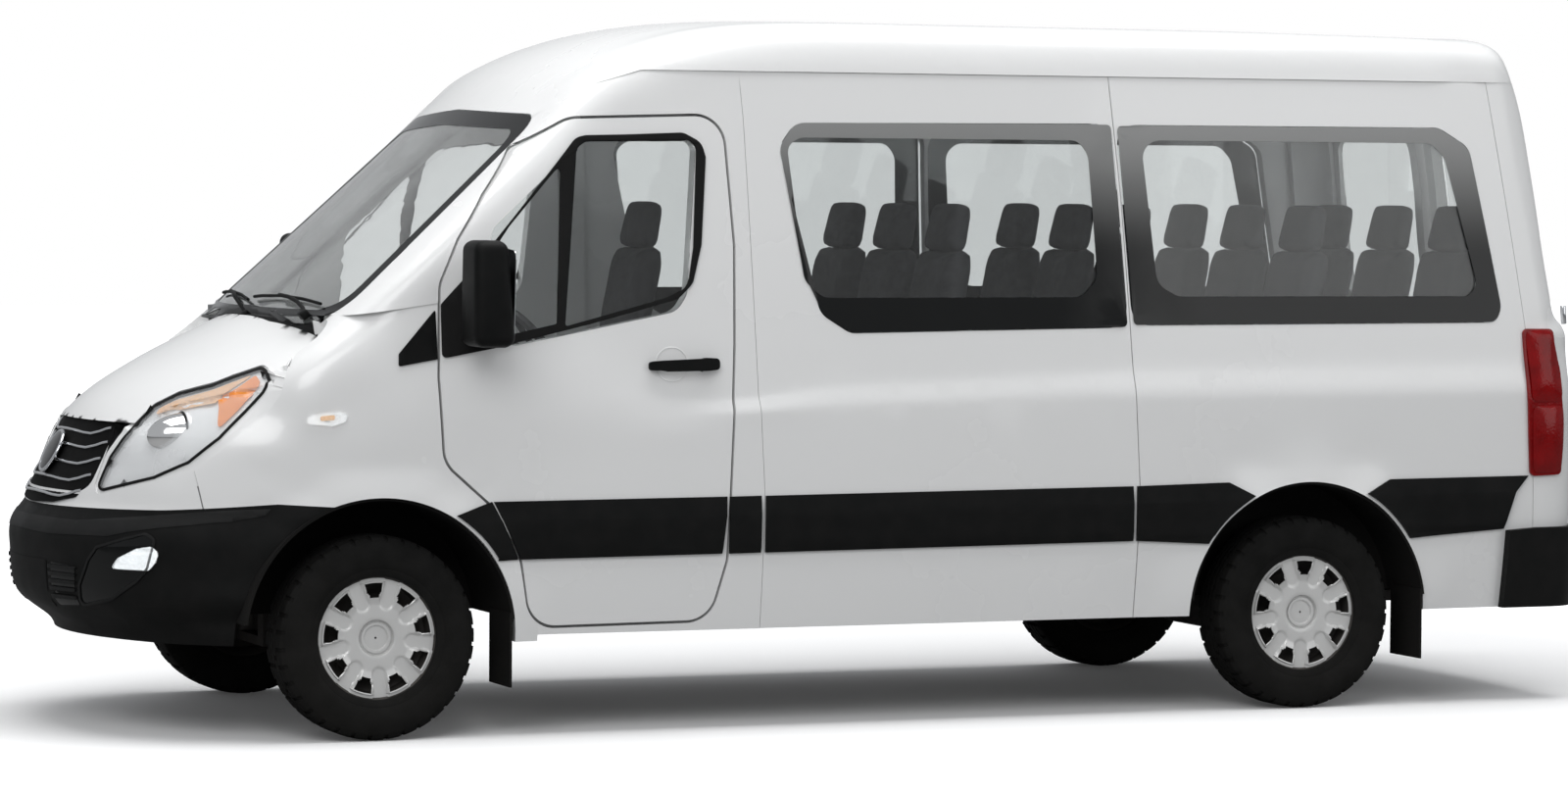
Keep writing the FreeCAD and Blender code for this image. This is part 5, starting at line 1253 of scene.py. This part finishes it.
def makeTyre(w, radius, half):
    # side walls, grooves and tread blocks
    bead = w["rimRadius"] - 0.012
    wall = [(bead, -half * 0.62), (bead + 0.004, -half * 0.84), (bead + 0.022, -half * 0.93),
            (bead + 0.03, -half * 0.93),
            (bead + 0.034, -half * 0.955), (bead + 0.055, -half * 0.985), (bead + 0.075, -half),
            (bead + 0.095, -half * 0.985),
            (radius - 0.028, -half * 0.94), (radius - 0.02, -half * 0.905), (radius - 0.006, -half * 0.80),
            (radius - 0.001, -half * 0.66)]
    tread = []
    for y in (-0.42, -0.14, 0.14, 0.42):
        middle = half * y
        tread += [(radius, middle - 0.0045), (radius - w["grooveCut"], middle - 0.0035),
                  (radius - w["grooveCut"], middle + 0.0035),
                  (radius, middle + 0.0045)]
    profile = wall + tread + [(r, -z) for r, z in wall[::-1]]
    tyre = ringStack("tyre", profile, w["blocks"] * 2)
    mesh = tyre.data
    for face in mesh.polygons:
        face.select = False
        place = face.center
        r = math.hypot(place.x, place.y)
        angle = math.degrees(math.atan2(place.y, place.x)) % 360
        slot = int(angle / 360 * w["blocks"] * 2)
        if abs(place.z) > half * 0.55 and r > radius - 0.024 and slot % 4 == 0:
            face.select = True
        shift = 2 if place.z > 0 else 0
        if abs(place.z) < half * 0.55 and r > radius - 0.002 and (slot + shift) % 8 == 0:
            face.select = True
    pick(tyre)
    bpy.ops.object.mode_set(mode="EDIT")
    bpy.ops.mesh.extrude_region_shrink_fatten(TRANSFORM_OT_shrink_fatten={"value": 0.0})
    bpy.ops.object.mode_set(mode="OBJECT")
    for v in mesh.vertices:
        if v.select:
            r = math.hypot(v.co.x, v.co.y)
            pull = (r - w["shoulderCut"]) / r
            v.co.x *= pull
            v.co.y *= pull
            v.co.z *= 0.97 if abs(v.co.z) > half * 0.8 else 1
    fixNormals(tyre)
    smooth(tyre, 32)
    return tyre


def makeRim(w, half):
    # the rim and its disc, behind the cover
    lip = w["rimRadius"]
    profile = [(lip - 0.004, -half * 0.80), (lip, -half * 0.815), (lip + 0.002, -half * 0.79),
               (lip - 0.006, -half * 0.74),
               (lip - 0.014, -half * 0.66), (lip - 0.03, -half * 0.3), (lip - 0.032, half * 0.3),
               (lip - 0.014, half * 0.66),
               (lip - 0.004, half * 0.76), (lip, half * 0.78)]
    rim = ringStack("rim", profile, 72)
    disc = ringStack("rim_disc", [(lip - 0.031, 0.02), (0.17, 0.014), (0.15, -0.006), (0.11, -0.012),
                                  (0.075, -0.012),
                                  (0.07, -0.03), (0.045, -0.034)], 72, closed=True)
    pick(rim, disc)
    bpy.ops.object.join()
    walled(rim, 0.004)
    applyModifiers(rim)
    fixNormals(rim)
    smooth(rim, 35)
    return rim


def coverHeight(w, r, turn):
    # how far the cover's face stands out at one place: cap, hub ring, fingers, hollows and rim ring
    share = (turn * w["petals"] / 360) % 1
    side = min(share, 1 - share) * 360 / w["petals"]  # degrees from the middle of a hole
    finger = math.radians(180 / w["petals"] - side)
    if r < 0.043:
        return 0.026
    if r < 0.052:
        return 0.020 if r > 0.0455 else 0.022
    if r < 0.060:
        return 0.026
    if r < 0.066:
        return 0.024 - 0.012 * (r - 0.060) / 0.006
    if r > 0.2165:
        return 0.010 - 0.008 * (r - 0.2165) / 0.006
    ground = 0.0125 - 0.010 * max(min((r - 0.118) / 0.03, 1), 0)
    if r > 0.196:
        ground = 0.0135
    across = r * math.sin(finger)
    along = r * math.cos(finger)
    away = abs(across) if along > 0.128 else math.hypot(across, along - 0.128)
    rise = max(min((0.029 - away) / 0.005, 1), 0)
    return ground + (0.0165 - ground) * rise if r < 0.2135 else 0.0135


def makeCover(w):
    # the wheel cover: rings drawn out, holes cut between the fingers
    radii = [0.226, 0.2225, 0.2165, 0.2135, 0.2085, 0.203, 0.197, 0.194, 0.188, 0.182, 0.176, 0.170, 0.164,
             0.158, 0.152,
             0.146, 0.14, 0.134, 0.128, 0.122, 0.116, 0.111, 0.106, 0.101, 0.096, 0.088, 0.078, 0.067,
             0.0655, 0.0605, 0.0595,
             0.0525, 0.0515, 0.0495, 0.046, 0.045, 0.0435, 0.0425, 0.038, 0.02, 0.004]
    cover = ringStack("wheel_cover", [(r, 0) for r in radii], w["segments"], closed=True)
    mesh = cover.data
    for face in mesh.polygons:
        place = face.center
        r = math.hypot(place.x, place.y)
        turn = math.degrees(math.atan2(place.y, place.x)) % 360
        share = (turn * w["petals"] / 360) % 1
        side = min(share, 1 - share) * 360 / w["petals"]
        wide = 4.5 + 5.0 * min((r - w["holeIn"]) / 0.02, 1)
        face.select = w["holeIn"] < r < w["holeOut"] and side < wide and len(face.vertices) == 4
    pick(cover)
    bpy.ops.object.mode_set(mode="EDIT")
    bpy.ops.mesh.delete(type="FACE")
    bpy.ops.object.mode_set(mode="OBJECT")
    for v in mesh.vertices:
        r = math.hypot(v.co.x, v.co.y)
        turn = math.degrees(math.atan2(v.co.y, v.co.x)) % 360
        v.co.z = -coverHeight(w, r, turn)
    walled(cover, 0.004)
    applyModifiers(cover)
    fixNormals(cover)
    smooth(cover, 38)
    return cover


def makeWheels(w):
    low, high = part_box("tyre_front_left")
    radius = (high[2] - low[2]) / 2 - 0.001
    half = (high[1] - low[1]) / 2 - 0.001
    parts = {"tyre": (makeTyre(w, radius, half), tyreRubber, "tyre", "tyre_"),
             "rim": (makeRim(w, half), darkSteel, "dark_steel", "wheel_"),
             "wheel_cover": (makeCover(w), silverCover, "silver_cover", "wheel_")}
    for name, side in wheelNames:
        low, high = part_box("tyre_" + name)
        middle = ((low[0] + high[0]) / 2, (low[1] + high[1]) / 2, (low[2] + high[2]) / 2)
        for kind, (model, finish, slot, node) in parts.items():
            piece = copyOf(model, kind + "_of_" + name)
            turn = Matrix.Rotation(math.radians(-90 * side), 4, "X")
            spot = Vector(middle)
            if kind == "wheel_cover":
                spot.y += side * half * 0.80
            rolled = Matrix.Rotation(math.radians(14 if "front" in name else 8), 4, "Z")
            piece.matrix_world = Matrix.Translation(spot) @ turn @ rolled
            applyAll(piece)
            dress(piece, finish, name.split("_")[0] + "_wheel_" + name.split("_")[1])
            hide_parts(node + name)
            smooth(piece, 35)
    for model, finish, slot, node in parts.values():
        pick(model)
        bpy.ops.object.delete()


makeWheels(wheel)
print("wheels made")


# tail lamps, handles, mirrors, wipers
def makeTailLobes():
    for name, points, rise in (
            ("tail_lamp_upper_left", [(4488, 1396), (4600, 1394), (4630, 1240), (4640, 1128), (4505, 1126)],
             0.016),
            ("tail_lamp_lower_left", [(4508, 1112), (4642, 1114), (4646, 1000), (4634, 862), (4512, 858)],
             0.020)):
        loop = roundedLoop([(p[0], p[1], 0.03) for p in station(points)], 0.03, 4)
        sheet = wrapped(name, [loop], 0, lift=0.001, depth=0, step=0.016, target=nodes["tail_lamps"],
                        limit=0.5)
        low = [min(p[k] for p in loop) for k in range(2)]
        high = [max(p[k] for p in loop) for k in range(2)]
        for v in sheet.data.vertices:
            bulge = rise
            a = (v.co.x - low[0]) / (high[0] - low[0])
            b = (v.co.z - low[1]) / (high[1] - low[1])
            for share in (a, b):
                bulge *= max(math.sin(math.pi * min(max(share, 0), 1)), 0) ** 0.6
            v.co.y -= bulge
        walled(sheet, 0.003, -1)
        applyModifiers(sheet)
        smooth(sheet, 50)
        bothSides(sheet, redLens)


handle = {"x": (979, 1235), "z": (1270, 1313), "stand": 0.034, "thick": 0.018, "inset": 0.012,
          "cup": (1065, 1292),
          "cupRadius": (0.062, 0.058), "lock": (1208, 1291), "lockRadius": 0.009}


def makeHandles(h):
    # the front door's pull: an arched grip on two feet, a cup behind it and a lock
    body = "front_door_left"
    (x0, x1), (z0, z1) = h["x"], h["z"]
    ends = [x / 1000 + frontAxle for x in (x0, x1)]
    depths = []
    for x in ends:
        depths.append(firstHit(skin, (x, -2, (z0 + z1) / 2000), (0, 1, 0)).y)
    outline = station([(x0, (z0 + z1) / 2 - 14, 12), (x0 + 60, z0 - 2, 30), (x1 - 60, z0, 30),
                       (x1, z0 + 10, 14),
                       (x1, z1 - 4, 14), (x1 - 50, z1, 30), (x0 + 50, z1 - 6, 30), (x0, z1 - 10, 12)])
    bar = flatSheet("door_handle_left", [roundedLoop(outline, 0.01, 4)], 0.02)
    for v in bar.data.vertices:
        share = (v.co.x - ends[0]) / (ends[1] - ends[0])
        arch = math.sin(math.pi * min(max(share, 0), 1)) ** 0.5
        v.co.y = depths[0] + (depths[1] - depths[0]) * share - h["inset"] - (h["stand"] - h["inset"]) * arch
    turnOut(bar, Vector((0, -1, 0)))
    walled(bar, h["thick"])
    rounded(bar, 0.006, 3, 50)
    applyModifiers(bar)
    smooth(bar, 50)
    bothSides(bar, blackPlastic, body=body)
    pad = station([(x1 - 62, z0 - 4, 16), (x1 + 4, z0 + 2, 16), (x1 + 4, z1 - 2, 16),
                   (x1 - 62, z1 + 2, 16)])
    sideSheet("door_handle_foot_left", [roundedLoop(pad, 0.014)], blackPlastic, depth=0.022, bevel=0.005,
              step=0.03,
              body=body)
    toe = station([(x0 - 2, z0 + 2), (x0 + 46, z0), (x0 + 46, z1 - 8), (x0 - 2, z1 - 12)])
    sideSheet("door_handle_toe_left", [roundedLoop(toe, 0.012)], blackPlastic, depth=0.018, bevel=0.004,
              step=0.03,
              body=body)
    cup = station([h["cup"]])[0]
    sideSheet("door_handle_cup_left", [arc(cup, radius, 0, 360, 40)[:-1] for radius in h["cupRadius"]],
              whitePaint,
              depth=0.0016, bevel=0.0006, step=0.06, body=body)
    lock = station([h["lock"]])[0]
    sideSheet("door_lock_left", [arc(lock, h["lockRadius"], 0, 360, 24)[:-1]], chrome, lift=0.022,
              depth=0.003,
              bevel=0.001, step=0.02, body=body)


makeTailLobes()
makeHandles(handle)
print("tail lamp lobes and handles made")


# mirrors
mirror = {"station": 0.328, "side": 1.145, "height": 1.546, "deep": 0.15, "wide": 0.2, "tall": 0.364}


def beveledBox(name, size, bevel, segments=3, taper=(1, 1), lean=0.0):
    # a box with rounded edges, narrower at its top
    deselectAll()
    bpy.ops.mesh.primitive_cube_add(size=1)
    item = bpy.context.view_layer.objects.active
    item.name = name
    item.scale = size
    applyAll(item)
    for v in item.data.vertices:
        v.select = v.co.z > 0
    for e in item.data.edges:
        e.select = all(item.data.vertices[k].co.z > 0 for k in e.vertices)
    for f in item.data.polygons:
        f.select = all(item.data.vertices[k].co.z > 0 for k in f.vertices)
    pick(item)
    bpy.ops.object.mode_set(mode="EDIT")
    bpy.ops.transform.resize(value=(taper[0], taper[1], 1))
    bpy.ops.transform.translate(value=(lean, 0, 0))
    bpy.ops.object.mode_set(mode="OBJECT")
    rounded(item, bevel, segments, 30)
    applyModifiers(item)
    smooth(item, 50)
    return item


def placed(item, where, turn=(0, 0, 0)):
    item.rotation_euler = [math.radians(a) for a in turn]
    item.location = where
    applyAll(item)
    return item


def makeMirrors(m):
    spot = Vector((frontAxle + m["station"], -m["side"], m["height"]))
    shell = beveledBox("mirror_shell_left", (m["deep"], m["wide"], m["tall"]), 0.036, 5, taper=(0.8, 0.92),
                       lean=-0.012)
    placed(shell, spot)
    bothSides(shell, blackPlastic, "front_door_left", ["mirror_left"])
    half, tall = m["wide"] * 0.4, m["tall"] * 0.42
    glass = flatSheet("mirror_glass_left", [roundedLoop([(-half, -tall), (half, -tall), (half * 0.92, tall),
                                                         (-half * 0.92, tall)],
                                                        0.03, 4)], 0.2)
    walled(glass, 0.003)
    applyModifiers(glass)
    placed(glass, spot + Vector((m["deep"] * 0.5 - 0.004, 0, 0)), (0, -4.5, 90))
    bothSides(glass, mirrorGlass, "front_door_left", ["mirror_left"])
    arm = beveledBox("mirror_arm_left", (0.11, 0.18, 0.07), 0.02, 3)
    placed(arm, spot + Vector((0.035, 0.1, -m["tall"] * 0.5 + 0.03)))
    bothSides(arm, blackPlastic, "front_door_left", ["mirror_left"])


mirrorGlass = finishOf("mirror_glass", (0.8, 0.82, 0.84), (0.02, 0.05), metallic=1)
makeMirrors(mirror)
print("mirrors made")


# wipers
wiper = {"arm": 0.0075, "blade": 0.006, "lift": 0.022}
# the left wiper seen from the front: across, and up
wiperArm = [(-0.64, 1.452), (-0.6, 1.468), (-0.5, 1.49), (-0.4, 1.503), (-0.3, 1.508)]
wiperBlade = [(-0.66, 1.492), (-0.5, 1.505), (-0.3, 1.512), (-0.1, 1.508), (-0.02, 1.503)]


def onScreen(y, z, lift):
    hit, place, normal, index = nodes["windscreen"].ray_cast(Vector((-5, y, z)), Vector((1, 0, 0)))
    if not hit:
        return Vector((frontAxle - 0.2, y, z))
    return place + normal * lift * (1 if normal.x < 0 else -1)


def makeWipers(w):
    for side, shift in (("left", 0.0), ("right", 0.68)):
        arm = [onScreen(y + shift, z, w["lift"]) for y, z in wiperArm]
        blade = [onScreen(y + shift, z, w["lift"] * 0.55) for y, z in wiperBlade]
        parts = [barAlong("wiper_arm_" + side, arm, w["arm"]),
                 barAlong("wiper_blade_" + side, blade, w["blade"])]
        foot = beveledBox("wiper_foot_" + side, (0.03, 0.045, 0.03), 0.006, 2)
        placed(foot, arm[0] + Vector((0.0, 0, -0.006)), (0, -40, 0))
        parts.append(foot)
        pick(*parts)
        bpy.context.view_layer.objects.active = parts[0]
        bpy.ops.object.join()
        whole = bpy.context.view_layer.objects.active
        whole.name = "wiper_" + side
        dress(whole, blackPlastic, "body")


makeWipers(wiper)
print("wipers made")


cowl = {"half": 0.72, "step": 0.04, "cornerIn": 0.7, "cornerOut": 0.835}


def hoodRear(y):
    # the top of the hood's rear edge at one place across
    for k in range(260):
        place = firstHit(bpy.data.objects["hood_panel"], (frontAxle + 0.02 - 0.002 * k, y, 3), (0, 0, -1))
        if place and place.z > 1.1:
            return place
    return Vector((frontAxle - 0.2, y, 1.35))


def lipOf(y):
    # the lowest place above the hood where a fixed panel or the windscreen shows from the front
    for k in range(60):
        z = 1.4 + 0.004 * k
        for node in ("windscreen", "fender_left", "body_side_left"):
            place = firstHit(nodes[node], (-5, y, z), (1, 0, 0))
            if place and place.x < frontAxle + 0.15:
                return place
    return Vector((frontAxle - 0.1, y, 1.5))


def spanned(name, stops, near, far, step, sag):
    # a thin sheet between two runs of points
    width = stops[-1] - stops[0]
    sheet = flatSheet(name, [[(0, 0), (width, 0), (width, 0.1), (0, 0.1)]], step)
    for v in sheet.data.vertices:
        place = v.co.x / width * (len(stops) - 1)
        k = min(int(place), len(stops) - 2)
        share = place - k
        rise = v.co.z / 0.1
        v.co = near[k].lerp(near[k + 1], share).lerp(far[k].lerp(far[k + 1], share), rise)
        v.co.z -= sag * math.sin(math.pi * rise)
    walled(sheet, 0.003, -1)
    applyModifiers(sheet)
    fixNormals(sheet)
    smooth(sheet)
    return sheet


def makeCowl(c):
    stops = [c["half"] * (k / 18 - 1) for k in range(37)]
    near = [hoodRear(y) + Vector((-0.008, 0, -0.018)) for y in stops]
    far = [onScreen(y, 1.462, 0) + Vector((0.01, 0, -0.003)) for y in stops]
    sheet = spanned("cowl_panel", stops, near, far, c["step"], 0.014)
    dress(sheet, blackPlastic, "body")
    width = c["cornerOut"] - c["cornerIn"]
    stops = [-c["cornerOut"] + width * k / 20 for k in range(21)]
    near = [hoodRear(y) + Vector((0.006, 0, -0.004)) for y in stops]
    far = [lipOf(y) + Vector((0.004, 0, 0.004)) for y in stops]
    corner = spanned("fender_lip_left", stops, near, far, 0.012, 0.0)
    bothSides(corner, whitePaint)


makeCowl(cowl)
print("cowl made")


seat = {"depth": 0.48, "width": 0.44, "cushion": 0.13, "back": 0.11, "tall": 0.6, "headWide": 0.26,
        "headTall": 0.17,
        "base": 0.98, "lean": 12, "voxel": 0.016, "cap": 0.026, "swell": 0.012, "spare": 0.006}
seatPlaces = {"front_seats": [(0.9, -0.44), (0.9, 0.44)],
              "passenger_seats": [(3.57 * share - 0.24, y) for share in (0.56, 0.765, 0.97,
                                                                         1.15) for y in (-0.5, 0, 0.5)]}


def softPad(name, size, crown, s):
    # a padded form: remeshed, blown up as cloth for a moment, its swelling capped
    inner = [a - 2 * s["swell"] for a in size]
    pad = beveledBox(name, inner, min(inner) * 0.3, 3, taper=crown)
    again = pad.modifiers.new("remesh", "REMESH")
    again.mode = "VOXEL"
    again.voxel_size = s["voxel"]
    applyModifiers(pad)
    rest = [v.co.copy() for v in pad.data.vertices]
    cloth = pad.modifiers.new("swell", "CLOTH")
    cloth.settings.use_pressure = True
    cloth.settings.uniform_pressure_force = 4
    cloth.settings.effector_weights.gravity = 0
    cloth.collision_settings.use_collision = False
    for moment in range(1, 21):
        bpy.context.scene.frame_set(moment)
    applyModifiers(pad)
    bpy.context.scene.frame_set(1)
    for v, start in zip(pad.data.vertices, rest):
        moved = v.co - start
        if moved.length > s["cap"]:
            v.co = start + moved * (s["cap"] / moved.length)
    relax = pad.modifiers.new("relax", "SMOOTH")
    relax.factor = 0.5
    relax.iterations = 3
    applyModifiers(pad)
    low = [min(v.co[k] for v in pad.data.vertices) for k in range(3)]
    high = [max(v.co[k] for v in pad.data.vertices) for k in range(3)]
    for v in pad.data.vertices:
        v.co = [(v.co[k] - (low[k] + high[k]) / 2) * (size[k] + s["spare"]) / (high[k] - low[k])
                for k in range(3)]
    smooth(pad, 60)
    return pad


def makeSeats(s):
    lean = math.radians(s["lean"])
    pads = [(softPad("cushion", (s["depth"], s["width"], s["cushion"]), (0.97, 0.96), s),
             Vector((s["depth"] / 2, 0,
             s["base"] + s["cushion"] / 2)), 0),
            (softPad("back", (s["back"], s["width"], s["tall"]), (0.85, 0.86), s), None, s["tall"] / 2),
            (softPad("head", (s["back"] * 0.8, s["headWide"], s["headTall"]), (0.9, 0.88), s), None,
             s["tall"] + s["headTall"] / 2)]
    foot = Vector((s["depth"] - s["back"], 0, s["base"] + s["cushion"]))
    for node, spots in seatPlaces.items():
        copies = []
        for x, y in spots:
            for pad, centre, rise in pads:
                item = pad.copy()
                item.data = pad.data.copy()
                bpy.context.collection.objects.link(item)
                if centre is None:
                    thick = s["back"] / 2 if rise < s["tall"] else s["back"] * 0.4
                    centre = foot + Vector((thick * math.cos(lean) + rise * math.sin(lean), 0,
                                            rise * math.cos(lean) - thick * math.sin(lean)))
                    item.rotation_euler = (0, lean, 0)
                item.location = centre + Vector((frontAxle + x, y, 0))
                copies.append(item)
        pick(*copies)
        bpy.context.view_layer.objects.active = copies[0]
        bpy.ops.object.join()
        whole = bpy.context.view_layer.objects.active
        whole.name = node + "_cloth"
        applyAll(whole)
        dress(whole, seatCloth, "body")
        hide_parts(node)
    for pad, centre, rise in pads:
        pick(pad)
        bpy.ops.object.delete()


makeSeats(seat)
print("seats made")


hinge = {"heights": (1.45, 1.1, 0.75), "station": 4.7225, "level": 1.39, "lean": 0.065, "side": 0.83,
         "radius": 0.011,
         "length": 0.07, "bevel": 0.002}


def makeRearTrim():
    # hinge knuckles round the doors' own pin line, which leans with the rear corner
    for i, z in enumerate(hinge["heights"]):
        where = Vector((frontAxle + hinge["station"] + (hinge["level"] - z) * hinge["lean"], -hinge["side"],
                        z))
        deselectAll()
        bpy.ops.mesh.primitive_cylinder_add(radius=hinge["radius"], depth=hinge["length"], vertices=24)
        knuckle = bpy.context.view_layer.objects.active
        knuckle.name = "rear_hinge_%d_left" % (i + 1)
        rounded(knuckle, hinge["bevel"], 2, 30)
        applyModifiers(knuckle)
        placed(knuckle, where, (0, -math.degrees(math.atan(hinge["lean"])), 0))
        smooth(knuckle, 50)
        bothSides(knuckle, chrome, "rear_door_left")
    for name, where, size, finish in (("rear_handle", (-0.09, 1.12), (0.03, 0.2, 0.05), blackPlastic),
                                      ("rear_plate_recess", (-0.36, 0.92), (0.012, 0.54, 0.14),
                                       blackPlastic),
                                      ("rear_lock", (-0.09, 1.04), (0.016, 0.035, 0.035), chrome)):
        y, z = where
        place = firstHit(nodes["rear_door_left"], (8, y, z), (-1, 0, 0))
        if place:
            item = beveledBox(name, size, min(size) * 0.3, 3)
            placed(item, Vector((place.x + size[0] * 0.2, y, z)), (0, -3, 0))
            dress(item, finish, "rear_door_left")


makeRearTrim()
print("rear trim made")


# the skin, used only to place pieces on, is taken away
pick(skin)
bpy.ops.object.delete()
deselectAll()
